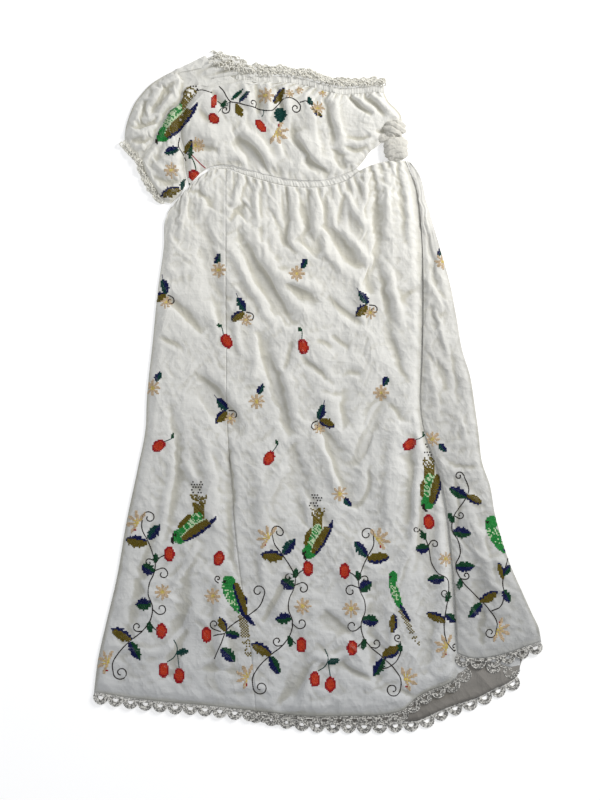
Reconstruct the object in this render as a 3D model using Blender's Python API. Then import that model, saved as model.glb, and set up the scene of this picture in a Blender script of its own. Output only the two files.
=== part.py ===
"""A peasant dress laid flat on its back: a gathered one-shouldered bodice with a puff sleeve, tied at the
open side, and a long gathered skirt with crochet scallops along its hem.

The lists and tables are in millimetres: +X to the right of the dress as it is seen from above, +Y towards
the neck, +Z up from the surface that it lies on. The garment is moved by SHIFT, so that the origin is under
the middle of its box, and scaled to metres when each mesh is made.
"""

import math
import random

import bmesh
import bpy
import numpy as np

MM = 0.001
SHIFT = (0.0, -4.7)
WALL = 1.2
SEAM = 0.3
LACE_SEAM = 0.6
STEEPEST = 0.5
BACK_INSET = 3.5

# The undersides of the three levels of cloth that lie on each other.
BACK_LOW = 0.0
FRONT_LOW = BACK_LOW + WALL + SEAM
SIDE_LOW = FRONT_LOW + WALL + SEAM

CLOTH_COLOUR = (0.80, 0.78, 0.72)
LACE_COLOUR = (0.66, 0.62, 0.53)
TIE_COLOUR = (0.62, 0.61, 0.56)

# Outlines of the skirt. Tops and hems run from left to right, sides from the waist to the hem.
SKIRT_TOP_LEFT = [
    (-264, 332), (-251, 348), (-235, 366), (-217, 384), (-194, 400), (-165, 404),
]
SKIRT_TOP_RIGHT = [
    (-165, 404), (-129, 392), (-50, 372), (-4, 370), (26, 374), (55, 384), (76, 400), (94, 409),
    (120, 416), (140, 418), (159, 418),
]
SKIRT_LEFT = [
    (-264, 332), (-273, 314), (-276, 267), (-287, 186), (-296, 96), (-307, -12), (-309, -62),
    (-323, -134), (-343, -228), (-361, -332), (-381, -417), (-395, -480), (-402, -537),
]
SKIRT_SEAM = [
    (-165, 404), (-165, 298), (-165, 186), (-164, 60), (-163, -48), (-154, -160), (-149, -233),
    (-140, -318), (-130, -390), (-118, -480), (-111, -571),
]
SKIRT_TUCK = [
    (159, 418), (177, 366), (186, 294), (190, 159), (188, 60), (190, -30), (199, -69), (220, -120),
    (238, -170), (253, -237), (262, -336), (267, -426), (269, -492),
]
PLEAT_FOLD = [
    (160, 419), (177, 372), (186, 303), (190, 168), (188, 60), (186, -30), (192, -69), (208, -114),
    (222, -159), (233, -219), (242, -309), (248, -399), (251, -467),
]
SKIRT_RIGHT = [
    (168, 413), (181, 392), (192, 356), (206, 309), (222, 255), (238, 197), (249, 141), (260, 78),
    (274, 32), (282, -19), (289, -69), (296, -125), (310, -166), (318, -213), (330, -258), (348, -312),
    (368, -357), (386, -397), (397, -420), (402, -446),
]
HEM_LEFT = [(-402, -537), (-348, -546), (-274, -555), (-194, -562), (-111, -571)]
HEM_FRONT = [
    (-111, -571), (-21, -580), (58, -580), (122, -577), (154, -569), (176, -549), (202, -534), (233, -523),
    (253, -508), (269, -492),
]
HEM_SIDE = [(251, -467), (274, -475), (310, -474), (346, -465), (377, -454), (402, -446)]
HEM_BACK = [
    (-396, -516), (-274, -534), (-176, -557), (-100, -575), (-32, -587), (58, -592), (145, -590),
    (184, -586), (208, -575), (238, -562), (284, -547), (318, -530), (339, -521), (359, -508),
]
UNDERLAY_TOP = [(298, -392), (330, -384), (366, -374)]
UNDERLAY_LEFT = [(298, -392), (300, -430), (302, -482)]
UNDERLAY_RIGHT = [(366, -374), (366, -430), (364, -500)]
UNDERLAY_HEM = [(302, -482), (334, -488), (364, -500)]

# Outlines of the bodice and the waist.
BODICE_TOP = [(-147, 563), (-100, 558), (-58, 558), (-22, 553), (14, 543), (46, 537), (80, 539), (120, 541)]
BODICE_LEFT = [
    (-147, 563), (-184, 555), (-213, 543), (-235, 518), (-246, 490), (-246, 465), (-240, 435),
    (-238, 406), (-231, 372),
]
BODICE_RIGHT = [(120, 541), (127, 526), (141, 512), (150, 500), (152, 490)]
BODICE_BOTTOM = [
    (-231, 372), (-217, 389), (-194, 406), (-166, 410), (-127, 402), (-50, 384), (-10, 382), (22, 385),
    (51, 395), (71, 405), (84, 420), (96, 436), (111, 447), (120, 459), (122, 472), (129, 482),
    (140, 487), (152, 490),
]
NECK_EDGE = [(-147, 575), (-100, 570), (-58, 570), (-22, 565), (14, 555), (46, 549), (80, 551), (120, 553)]
WAIST_TOP = [(-194, 406), (-166, 410), (-127, 402), (-50, 384), (-10, 382), (22, 385), (51, 395), (71, 405)]
WAIST_BOTTOM = [
    (-194, 400), (-165, 404), (-129, 392), (-50, 372), (-4, 370), (26, 374), (55, 384), (76, 400),
]

# How far down the bodice each row of its points lies.
BODICE_ROWS = (0.0, 0.035, 0.09, 0.17, 0.27, 0.37, 0.47, 0.57, 0.67, 0.77, 0.86, 0.95, 1.0)

# Outlines of the sleeve.
FLAP_OUTER = [
    (-202, 608), (-230, 594), (-255, 582), (-280, 569), (-302, 554), (-316, 539), (-328, 523),
    (-338, 501), (-346, 471), (-347, 451),
]
FLAP_INNER = [
    (-188, 588), (-224, 582), (-251, 573), (-240, 561), (-244, 544), (-251, 521), (-267, 510),
    (-280, 489), (-291, 469), (-298, 451), (-309, 438), (-321, 422),
]
SLEEVE_LEFT = [
    (-160, 573), (-186, 566), (-208, 558), (-228, 552), (-239, 546), (-244, 530), (-251, 517), (-264, 507),
    (-277, 487), (-288, 467), (-295, 449), (-306, 436), (-318, 420), (-312, 401), (-301, 379), (-286, 357),
    (-273, 345), (-264, 341),
]
SLEEVE_TAIL = [(-237, 379), (-244, 362), (-254, 350)]
FLAP_BOTTOM = [(-347, 451), (-335, 435), (-321, 422)]
CUFF_EDGE = [(-347, 451), (-335, 435), (-321, 421), (-314, 401), (-303, 379), (-289, 358), (-277, 346)]
SLEEVE_BACK = [
    (-190, 606), (-230, 590), (-280, 565), (-314, 536), (-334, 502), (-342, 465), (-342, 446),
    (-330, 427), (-318, 405), (-305, 379), (-290, 357), (-274, 347), (-243, 372), (-252, 410), (-256, 470),
    (-245, 520), (-220, 551), (-186, 573.5), (-150, 577), (-112, 576), (-108, 580), (-132, 588), (-160, 601),
]
NECK_BEHIND = [
    (118, 557), (80, 556), (46, 555), (14, 561), (-22, 571), (-58, 577), (-100, 580), (-132, 589),
    (-160, 602), (-190, 607),
]

# Folds: the start, middle and end of each, how wide it is, and how far it rises or sinks.
FOLD_COLUMNS = ("start", "middle", "end", "width", "rise")
SKIRT_FOLDS = [
    ((-148, 298), (-100, 205), (-44, 118), 15, -6),
    ((-160, 262), (-122, 180), (-80, 105), 16, 5),
    ((-100, 78), (-74, 6), (-35, -188), 15, -4),
    ((-75, 84), (-48, 0), (-12, -170), 16, 5),
    ((-230, 33), (-190, -10), (-149, -57), 22, -4),
    ((-269, 172), (-240, 145), (-204, 117), 14, -4),
    ((-256, -66), (-263, -177), (-292, -290), 18, 4),
    ((50, 366), (66, 330), (100, 290), 15, 6),
    ((-31, 285), (-8, 262), (14, 248), 20, -5),
    ((16, 302), (49, 258), (78, 220), 16, 5),
    ((109, 236), (118, 163), (134, 109), 15, -4),
    ((1, -60), (23, -132), (46, -187), 16, 6),
    ((93, -121), (89, -177), (68, -206), 15, -4),
    ((-212, -264), (-240, -310), (-262, -345), 18, 4),
    ((-57, -323), (-78, -366), (-102, -408), 16, -4),
    ((-24, -490), (-50, -530), (-73, -566), 17, -5),
    ((-12, -473), (30, -474), (73, -474), 14, 5),
    ((38, -482), (62, -500), (96, -508), 14, -4),
    ((186, 52), (184, -60), (158, -318), 20, -5),
]
SIDE_FOLDS = [
    ((199, 220), (212, 172), (227, 145), 12, 4),
    ((215, 66), (222, 40), (232, 0), 14, -4),
    ((220, -115), (250, -119), (290, -118), 13, 5),
    ((262, -180), (292, -260), (340, -400), 18, 5),
    ((280, -330), (292, -400), (300, -470), 14, -4),
]
BODICE_FOLDS = [
    ((-148, 460), (-110, 420), (-50, 388), 15, -9),
    ((-230, 470), (-190, 462), (-150, 470), 18, 5),
    ((-38, 442), (20, 400), (72, 404), 16, -8),
    ((8, 537), (32, 480), (50, 412), 12, 6),
    ((-58, 540), (-50, 480), (-30, 410), 13, 5),
    ((-30, 540), (-22, 470), (-6, 430), 11, -4),
    ((68, 534), (104, 512), (142, 496), 9, 4),
    ((40, 440), (75, 448), (104, 470), 10, -4),
]
SLEEVE_FOLDS = [
    ((-250, 500), (-280, 450), (-300, 400), 16, -5),
    ((-236, 440), (-262, 420), (-290, 410), 12, 5),
    ((-300, 392), (-262, 380), (-238, 384), 13, -5),
]
FLAP_FOLDS = [
    ((-215, 590), (-270, 560), (-312, 510), 12, 5),
    ((-262, 556), (-284, 520), (-300, 500), 11, -4),
    ((-335, 470), (-318, 440), (-328, 420), 10, 4),
]


def smooth_line(points, stops):
    """Points on a smooth curve through the given ones, at stops from 0 to 1 along its length."""
    points = np.asarray(points, float)
    lengths = np.linalg.norm(np.diff(points, axis=0), axis=1)
    marks = np.concatenate([[0.0], np.cumsum(lengths)])
    slopes = np.gradient(points, marks, axis=0)
    at = np.clip(np.asarray(stops, float), 0, 1) * marks[-1]
    index = np.clip(np.searchsorted(marks, at, side="right") - 1, 0, len(lengths) - 1)
    span = lengths[index][:, None]
    along = ((at - marks[index]) / lengths[index])[:, None]
    back = 1 - along
    return (
        (1 + 2 * along) * back**2 * points[index]
        + along * back**2 * span * slopes[index]
        + (3 - 2 * along) * along**2 * points[index + 1]
        - back * along**2 * span * slopes[index + 1]
    )


def patch_points(edges, across, down):
    """Points of the patch between four edge curves: top, bottom, left and right."""
    top, bottom, left, right = edges
    across = np.asarray(across, float)
    down = np.full_like(across, down)
    from_top = smooth_line(top, across)
    from_bottom = smooth_line(bottom, across)
    from_left = smooth_line(left, down)
    from_right = smooth_line(right, down)
    across = across[:, None]
    down = down[:, None]
    corners = (
        (1 - across) * (1 - down) * np.asarray(top[0], float)
        + across * (1 - down) * np.asarray(top[-1], float)
        + (1 - across) * down * np.asarray(bottom[0], float)
        + across * down * np.asarray(bottom[-1], float)
    )
    return (
        (1 - down) * from_top + down * from_bottom + (1 - across) * from_left + across * from_right - corners
    )


def eased(value):
    """A soft step from 0 to 1."""
    value = np.clip(value, 0, 1)
    return value * value * (3 - 2 * value)


def distance_to(points, line):
    """How far each point lies from a smooth line, and how far along the line its nearest point is."""
    stops = np.linspace(0, 1, 31)
    marks = smooth_line(line, stops)
    away = np.linalg.norm(points[:, None, :] - marks[None, :, :], axis=2)
    nearest = away.argmin(axis=1)
    return away[np.arange(len(points)), nearest], stops[nearest]


def fold_heights(points, folds):
    """What the folds of a table add at each point: highest in the middle of a fold, fading to its ends."""
    heights = np.zeros(len(points))
    for row in folds:
        fold = dict(zip(FOLD_COLUMNS, row))
        away, along = distance_to(points, (fold["start"], fold["middle"], fold["end"]))
        fade = np.sin(math.pi * np.clip(along, 0.02, 0.98)) ** 0.6
        heights += fold["rise"] * fade * np.exp(-((away / fold["width"]) ** 2))
    return heights


def gather_marks(count, seed):
    """Where each gather begins and ends along an edge, from 0 to 1, as uneven as hand gathering."""
    draw = random.Random(seed)
    widths = np.array([draw.uniform(0.7, 1.35) for _ in range(count)])
    return np.concatenate([[0.0], np.cumsum(widths) / widths.sum()])


def gather_columns(marks):
    """Four columns for each gather: its two ends, its top and a point on each side of it."""
    parts = [marks[:-1] + (marks[1:] - marks[:-1]) * share for share in (0.0, 0.25, 0.5, 0.75)]
    return np.append(np.sort(np.concatenate(parts)), 1.0)


def gather_heights(across, marks, seed, least=0.55):
    """The height of the gathers at each place across, from 0 between them to 1 on the highest."""
    draw = random.Random(seed)
    tops = np.array([draw.uniform(least, 1.0) for _ in range(len(marks) - 1)])
    index = np.clip(np.searchsorted(marks, across, side="right") - 1, 0, len(tops) - 1)
    phase = (across - marks[index]) / (marks[index + 1] - marks[index])
    return tops[index] * np.sin(math.pi * phase) ** 2


def even_columns(count, edge=0.012):
    """Evenly spaced columns, with one more close to each end, where the cloth rounds off."""
    return np.concatenate([[0.0, edge], np.linspace(0, 1, count)[1:-1], [1 - edge, 1.0]])


def row_triangles(upper, lower, upper_start, lower_start):
    """Triangles between two rows of points that may have unlike numbers of columns."""
    faces = []
    here, there = 0, 0
    while here < len(upper) - 1 or there < len(lower) - 1:
        step_upper = there == len(lower) - 1 or (
            here < len(upper) - 1 and upper[here + 1] <= lower[there + 1] + 1e-9
        )
        if step_upper:
            faces.append((upper_start + here, lower_start + there, upper_start + here + 1))
            here += 1
        else:
            faces.append((upper_start + here, lower_start + there, lower_start + there + 1))
            there += 1
    return faces


def material(name, colour, roughness):
    made = bpy.data.materials.new(name)
    made.use_nodes = True
    shader = made.node_tree.nodes["Principled BSDF"]
    shader.inputs["Base Color"].default_value = (*colour, 1.0)
    shader.inputs["Roughness"].default_value = roughness
    shader.inputs["Metallic"].default_value = 0.0
    made.diffuse_color = (*colour, 1.0)
    return made


def add_object(name, mesh, surface):
    mesh.materials.append(surface)
    made = bpy.data.objects.new(name, mesh)
    bpy.data.collections["peasant_dress"].objects.link(made)
    return made


def placed(points):
    """Points in millimetres as points in metres, with the garment's middle over the origin."""
    return [((x + SHIFT[0]) * MM, (y + SHIFT[1]) * MM, z * MM) for x, y, z in points]


def add_wall(name, undersides, faces, surface, wall=WALL):
    """A panel of cloth from its underside. The outer face is the same surface straight above, so that the
    edges stay where the seams are, and steep stretches are raised more, which keeps the wall's thickness."""
    mesh = bpy.data.meshes.new(name)
    mesh.from_pydata(placed(undersides), [], faces)
    shell = bmesh.new()
    shell.from_mesh(mesh)
    bmesh.ops.recalc_face_normals(shell, faces=shell.faces)
    shell.normal_update()
    raised = bmesh.ops.extrude_face_region(shell, geom=list(shell.faces), use_keep_orig=True)
    for vert in [item for item in raised["geom"] if isinstance(item, bmesh.types.BMVert)]:
        vert.co.z += wall * MM / max(abs(vert.normal.z), STEEPEST)
    bmesh.ops.recalc_face_normals(shell, faces=shell.faces)
    shell.to_mesh(mesh)
    shell.free()
    mesh.shade_smooth()
    mesh.set_sharp_from_angle(angle=math.radians(50))
    return add_object(name, mesh, surface)


def add_panel(name, edges, rows, low, heights, surface):
    """A panel lofted through rows. Each row is how far down the patch it lies and the columns it has, and
    heights gives how far the cloth stands above its level at each point."""
    undersides = []
    faces = []
    starts = []
    for down, columns in rows:
        plan = patch_points(edges, columns, down)
        rise = np.maximum(heights(plan, columns, np.full(len(columns), down)), 0.0)
        starts.append(len(undersides))
        undersides += [(x, y, low + z) for (x, y), z in zip(plan, rise)]
    for index in range(len(rows) - 1):
        faces += row_triangles(rows[index][1], rows[index + 1][1], starts[index], starts[index + 1])
    return add_wall(name, undersides, faces, surface)


def add_flat(name, outline, low, surface, wall=WALL):
    """A flat panel: a filled outline with the thickness of the cloth."""
    curve = bpy.data.curves.new(name, "CURVE")
    curve.dimensions = "2D"
    curve.fill_mode = "BOTH"
    curve.extrude = wall * MM / 2
    spline = curve.splines.new("POLY")
    spline.points.add(len(outline) - 1)
    for point, (x, y) in zip(spline.points, outline):
        point.co = ((x + SHIFT[0]) * MM, (y + SHIFT[1]) * MM, 0.0, 1.0)
    spline.use_cyclic_u = True
    curve.materials.append(surface)
    made = bpy.data.objects.new(name, curve)
    made.location.z = (low + wall / 2) * MM
    bpy.data.collections["peasant_dress"].objects.link(made)
    return made


def shifted(line, by):
    return [(x + by[0], y + by[1]) for x, y in line]


def beside(points, line):
    """How far each point lies to the left of a line that runs down the garment."""
    line = np.asarray(line, float)[::-1]
    return np.interp(points[:, 1], line[:, 1], line[:, 0]) - points[:, 0]


def sideways(line, by, count):
    """A smooth line moved to its left by a distance."""
    points = smooth_line(line, np.linspace(0, 1, count))
    slopes = np.gradient(points, axis=0)
    slopes /= np.linalg.norm(slopes, axis=1)[:, None]
    return points + by * np.column_stack([-slopes[:, 1], slopes[:, 0]])


def add_pebble(name, centre, radii, height, surface, power, segments=16, rings=10):
    """A rounded solid of layered cloth with a flat underside, such as a knot."""
    solid = bmesh.new()
    bmesh.ops.create_uvsphere(solid, u_segments=segments, v_segments=rings, radius=1.0)
    middle = height * 0.42
    for vert in solid.verts:
        flat = math.hypot(vert.co.x, vert.co.y)
        # A power under 1 squares the plan off, as a wrapped band is.
        squared = (abs(vert.co.x) ** (2 / power) + abs(vert.co.y) ** (2 / power)) ** (power / 2)
        grow = flat / squared if flat > 0 else 1.0
        x = centre[0] + SHIFT[0] + vert.co.x * grow * radii[0]
        y = centre[1] + SHIFT[1] + vert.co.y * grow * radii[1]
        above = vert.co.z > 0
        z = middle + vert.co.z * (height - middle if above else middle * 1.6)
        vert.co = (x * MM, y * MM, max(z, 0.0) * MM)
    bmesh.ops.recalc_face_normals(solid, faces=solid.faces)
    mesh = bpy.data.meshes.new(name)
    solid.to_mesh(mesh)
    solid.free()
    mesh.shade_smooth()
    return add_object(name, mesh, surface)


def add_scallops(name, edge, count, header, hole, ring, deep, low, surface, ripple=0.0, start=0, segments=4):
    """A strip of crochet along an edge: a header and half rings that hang from it, each round a hole. The
    first scallops may be covered by cloth, and then only the header is made there."""
    stations = count * 8 + 1
    line = smooth_line(edge, np.linspace(0, 1, stations))
    slope = np.gradient(line, axis=0)
    slope /= np.linalg.norm(slope, axis=1)[:, None]
    outwards = np.column_stack([slope[:, 1], -slope[:, 0]])
    length = np.linalg.norm(np.diff(line, axis=0), axis=1).sum()
    pitch = length / count
    marks = np.linspace(0, length, stations)

    def point(along, out):
        x, y = (np.interp(along, marks, line[:, axis]) for axis in (0, 1))
        step_x, step_y = (np.interp(along, marks, outwards[:, axis]) for axis in (0, 1))
        wave = ripple * (1 - math.cos(2 * math.pi * along / pitch)) / 2 * min(out / header, 1.0)
        reach = out + LACE_SEAM
        return (x + step_x * reach, y + step_y * reach, low + wave)

    points = []
    faces = []
    last_pair = None
    for index in range(count):
        middle = (index + 0.5) * pitch
        alongs = [middle - hole - ring, middle - hole, middle + hole, middle + hole + ring]
        if index == 0:
            alongs[0] = max(alongs[0], 0.0)
        pairs = []
        for along in alongs:
            pairs.append((len(points), len(points) + 1))
            points += [point(along, 0.0), point(along, header)]
        if last_pair is not None:
            pairs.insert(0, last_pair)
        for (upper, lower), (next_upper, next_lower) in zip(pairs, pairs[1:]):
            faces.append((upper, lower, next_lower, next_upper))
        last_pair = pairs[-1]
        if index < start:
            continue
        outer_last, inner_last = pairs[-4][1], pairs[-3][1]
        for step in range(1, segments + 1):
            turn = math.pi * step / segments
            if step < segments:
                outer_next, inner_next = len(points), len(points) + 1
                reach = hole + ring
                points.append(point(middle - reach * math.cos(turn), header + deep * math.sin(turn)))
                inner_deep = deep - ring
                points.append(point(middle - hole * math.cos(turn), header + inner_deep * math.sin(turn)))
            else:
                outer_next, inner_next = pairs[-1][1], pairs[-2][1]
            faces.append((outer_last, outer_next, inner_next, inner_last))
            outer_last, inner_last = outer_next, inner_next
    return add_wall(name, points, faces, surface)


def edge_room(plan, line, width):
    """0 on a line and 1 once the cloth is a width away from it."""
    return eased(distance_to(plan, line)[0] / width)


def skirt_rows(columns_top, columns_bottom, middle):
    """Rows for a gathered panel: many columns down to the end of the gathers, then fewer."""
    rows = [(down, columns_top) for down in (0.0, 0.012, 0.035, 0.07)]
    rows += [(down, middle) for down in (0.11, 0.16, 0.21)]
    rows += [(down, columns_bottom) for down in np.linspace(0.27, 0.985, 14)]
    rows.append((1.0, columns_bottom))
    return rows


def make_skirt(cloth):
    left_marks = gather_marks(7, 11)
    front_marks = gather_marks(20, 12)

    def skirt_heights(marks, seed, room_at):
        def heights(plan, across, down):
            """Low at the silhouette, the hem and the pleat, with gathers that run down from the waist."""
            gathers = gather_heights(across, marks, seed)
            lengths = 0.10 + 0.06 * gather_heights(across, marks, seed + 1, 0.2)
            falling = np.exp(-((down / lengths) ** 2))
            body = 3.0 + fold_heights(plan, SKIRT_FOLDS)
            rise = (1 - 0.6 * falling) * np.maximum(body, 0) + 5.5 * gathers * falling
            return rise * room_at(plan) * eased((1 - down) / 0.03)

        return heights

    # The back panel turns round the left edge and comes forward as far as the side seam.
    seam = shifted(SKIRT_SEAM, (-SEAM, 0))
    add_panel(
        "skirt_back_turn",
        (SKIRT_TOP_LEFT[:-1] + seam[:1], HEM_LEFT[:-1] + seam[-1:], SKIRT_LEFT, seam),
        skirt_rows(gather_columns(left_marks), even_columns(8, 0.05), even_columns(12, 0.04)),
        FRONT_LOW,
        skirt_heights(left_marks, 21, lambda plan: edge_room(plan, SKIRT_LEFT, 24)),
        cloth,
    )
    add_panel(
        "skirt_front",
        (SKIRT_TOP_RIGHT, HEM_FRONT, SKIRT_SEAM, SKIRT_TUCK),
        skirt_rows(gather_columns(front_marks), even_columns(26), even_columns(37)),
        FRONT_LOW,
        skirt_heights(front_marks, 31, lambda plan: eased((beside(plan, PLEAT_FOLD) - 8) / 26)),
        cloth,
    )
    side_marks = gather_marks(3, 41)

    def side_heights(plan, across, down):
        body = 3.5 + fold_heights(plan, SIDE_FOLDS)
        rise = np.maximum(body, 0) + 3.0 * gather_heights(across, side_marks, 42) * np.exp(-((down / 0.2) ** 2))
        room = edge_room(plan, SKIRT_RIGHT, 18) * (0.3 + 0.7 * edge_room(plan, PLEAT_FOLD, 14))
        return rise * room * eased((1 - down) / 0.04)

    side_rows = [(down, even_columns(9, 0.06)) for down in np.linspace(0, 1, 21)]
    add_panel(
        "skirt_side",
        ([PLEAT_FOLD[0], (164, 417), SKIRT_RIGHT[0]], HEM_SIDE, PLEAT_FOLD, SKIRT_RIGHT),
        side_rows,
        SIDE_LOW,
        side_heights,
        cloth,
    )
    add_panel(
        "pleat_underlay",
        (UNDERLAY_TOP, UNDERLAY_HEM, UNDERLAY_LEFT, UNDERLAY_RIGHT),
        [(down, np.linspace(0, 1, 9)) for down in (0.0, 0.5, 1.0)],
        FRONT_LOW,
        lambda plan, across, down: np.zeros(len(plan)),
        cloth,
    )


def make_skirt_back(cloth):
    """The back panel lies flat under the front, a little inside its outline except along the hem."""
    left = sideways(SKIRT_LEFT[:-1] + [HEM_BACK[0]], BACK_INSET, 26)
    right = sideways(SKIRT_RIGHT[:-2] + [(380, -440), HEM_BACK[-1]], -BACK_INSET, 26)
    top = smooth_line(SKIRT_TOP_LEFT[:-1] + SKIRT_TOP_RIGHT, np.linspace(0, 1, 24)) - np.array((0, BACK_INSET))
    hem = smooth_line(HEM_BACK, np.linspace(0, 1, 57))
    outline = list(map(tuple, top[1:-1])) + list(map(tuple, right[1:-1]))
    outline += list(map(tuple, hem[::-1])) + list(map(tuple, left[::-1][1:-1]))
    add_flat("skirt_back", outline, BACK_LOW, cloth)


def make_hem_laces(lace):
    hem = dict(header=4.0, hole=6.0, ring=4.6, deep=14.0, surface=lace)
    add_scallops("hem_lace_front", HEM_LEFT[:-1] + HEM_FRONT, 26, low=FRONT_LOW, **hem)
    add_scallops("hem_lace_side", HEM_SIDE, 6, low=SIDE_LOW, **hem)
    add_scallops("hem_lace_back", HEM_BACK, 28, low=BACK_LOW, start=10, **hem)
    add_scallops("hem_lace_underlay", UNDERLAY_HEM, 2, low=FRONT_LOW, **hem)


def make_bodice(cloth):
    neck_marks = gather_marks(22, 51)
    waist_marks = gather_marks(14, 52)

    def bodice_heights(plan, across, down):
        """Tubes of cloth fall from the gathered neck and puff out over the waist."""
        body = 6.0 + fold_heights(plan, BODICE_FOLDS)
        from_neck = 4.0 * gather_heights(across, neck_marks, 53) * np.exp(-((down / 0.28) ** 2))
        from_waist = 4.0 * gather_heights(across, waist_marks, 54) * np.exp(-(((1 - down) / 0.2) ** 2))
        room = edge_room(plan, BODICE_LEFT, 16) * edge_room(plan, BODICE_RIGHT, 12)
        ends = (0.3 + 0.7 * eased(down / 0.15)) * (0.25 + 0.75 * eased((1 - down) / 0.16))
        return room * (ends * np.maximum(body, 0) + from_neck + from_waist)

    columns = gather_columns(neck_marks)
    few = even_columns(27, 0.015)
    add_panel(
        "bodice_front",
        (BODICE_TOP, BODICE_BOTTOM, BODICE_LEFT, BODICE_RIGHT),
        [(down, columns if down < 0.1 else few) for down in BODICE_ROWS],
        FRONT_LOW,
        bodice_heights,
        cloth,
    )
    outline = [tuple(point) for point in smooth_line(shifted(NECK_EDGE, (0, -2)), np.linspace(0.01, 0.985, 12))]
    outline += [tuple(point) for point in smooth_line(shifted(BODICE_RIGHT, (-4, -1)), (0.2, 0.5, 0.95))]
    bottom = smooth_line(shifted(BODICE_BOTTOM, (1, 2)), np.linspace(0.965, 0.03, 24))
    outline += [tuple(point) for point in bottom]
    left = smooth_line(shifted(BODICE_LEFT, (4, 0)), np.linspace(0.95, 0.12, 10))
    outline += [tuple(point) for point in left]
    add_flat("bodice_back", outline, BACK_LOW, cloth)


def make_casings(cloth):
    """Narrow strips that the elastic gathers: one round the neck and one round the waist."""
    for name, upper, lower, count, seed, tall in (
        ("neck_casing", NECK_EDGE, shifted(BODICE_TOP, (0, SEAM)), 22, 51, 3.0),
        (
            "waist_casing", shifted(WAIST_TOP, (0, -2 * SEAM)), shifted(WAIST_BOTTOM, (0, 2 * SEAM)), 18, 61,
            3.0,
        ),
    ):
        marks = gather_marks(count, seed)

        def casing_heights(plan, across, down, marks=marks, seed=seed, tall=tall):
            ends = eased(across / 0.03) * eased((1 - across) / 0.03)
            return tall * ends * (0.35 + 0.65 * gather_heights(across, marks, seed + 2)) * np.sin(
                math.pi * np.clip(down, 0.12, 0.88)
            )

        add_panel(
            name,
            (upper, lower, (upper[0], lower[0]), (upper[-1], lower[-1])),
            [(down, gather_columns(marks)[::2]) for down in (0.0, 0.5, 1.0)],
            FRONT_LOW,
            casing_heights,
            cloth,
        )


def make_neck_laces(lace):
    """Crochet frills that stand above the neck, on the front edge and on the back edge behind it."""
    frill = dict(header=3.0, hole=3.2, ring=2.8, deep=11.0, surface=lace)
    add_scallops("neck_lace_front", NECK_EDGE[::-1], 16, low=FRONT_LOW, ripple=5.0, **frill)
    add_scallops("neck_lace_back", NECK_BEHIND, 18, low=BACK_LOW, **frill)


def make_sleeve(cloth, lace):
    armhole = shifted(BODICE_LEFT[:-1], (-0.9, 0.6)) + SLEEVE_TAIL

    def sleeve_heights(plan, across, down):
        body = 8.0 + fold_heights(plan, SLEEVE_FOLDS)
        edges = edge_room(plan, armhole, 16) * edge_room(plan, SLEEVE_LEFT, 12)
        return np.maximum(body, 0) * edges * eased((1 - down) / 0.06)

    add_panel(
        "sleeve_front",
        (SLEEVE_LEFT[:1] + armhole[:1], SLEEVE_LEFT[-1:] + armhole[-1:], SLEEVE_LEFT, armhole),
        [(down, even_columns(10, 0.05)) for down in np.linspace(0, 1, 19)],
        FRONT_LOW,
        sleeve_heights,
        cloth,
    )

    def flap_heights(plan, across, down):
        body = 10.0 + fold_heights(plan, FLAP_FOLDS)
        edges = edge_room(plan, FLAP_OUTER, 20) * (0.25 + 0.75 * edge_room(plan, FLAP_INNER, 10))
        return np.maximum(body, 0) * edges * eased((1 - down) / 0.12) * eased(down / 0.08)

    add_panel(
        "sleeve_fold",
        ([FLAP_OUTER[0], (-195, 598), FLAP_INNER[0]], FLAP_BOTTOM, FLAP_OUTER, FLAP_INNER),
        [(down, even_columns(6, 0.08)) for down in np.linspace(0, 1, 21)],
        FRONT_LOW,
        flap_heights,
        cloth,
    )
    outline = [tuple(point) for point in smooth_line(SLEEVE_BACK, np.linspace(0, 1, 60))]
    add_flat("sleeve_back", outline, BACK_LOW, cloth)
    add_scallops(
        "sleeve_lace", CUFF_EDGE, 8, header=3.0, hole=3.2, ring=2.8, deep=11.0, low=FRONT_LOW, ripple=3.0,
        surface=lace,
    )


def make_tie(tie):
    """The two ends of the side tie: wrapped round as a band, with a knot above it."""
    add_pebble("tie_wrap", (141.3, 438.6), (21.6, 20.0), 17.0, tie, power=0.62)
    add_pebble("tie_knot", (144.5, 472.8), (17.5, 13.4), 16.0, tie, power=1.0)


def clear_scene():
    for old in list(bpy.data.objects):
        bpy.data.objects.remove(old, do_unlink=True)


def main():
    clear_scene()
    collection = bpy.data.collections.new("peasant_dress")
    bpy.context.scene.collection.children.link(collection)
    cloth = material("cream_cotton", CLOTH_COLOUR, 0.85)
    lace = material("crochet_thread", LACE_COLOUR, 0.8)
    tie = material("tie_cotton", TIE_COLOUR, 0.85)
    make_skirt_back(cloth)
    make_skirt(cloth)
    make_hem_laces(lace)
    make_bodice(cloth)
    make_casings(cloth)
    make_neck_laces(lace)
    make_sleeve(cloth, lace)
    make_tie(tie)


main()
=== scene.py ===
"""The looks of a peasant dress laid flat on its back: cream cotton gathered at the neck and the waist, cross
stitched with birds, vines and cherries, and edged with crochet scallops.

The lists and tables are in millimetres, as the garment is seen from above: +X to its right, +Y towards the
neck, +Z up. SHIFT moves them so that the origin lies under the middle of the garment's box.
"""

import math
import random

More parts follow.
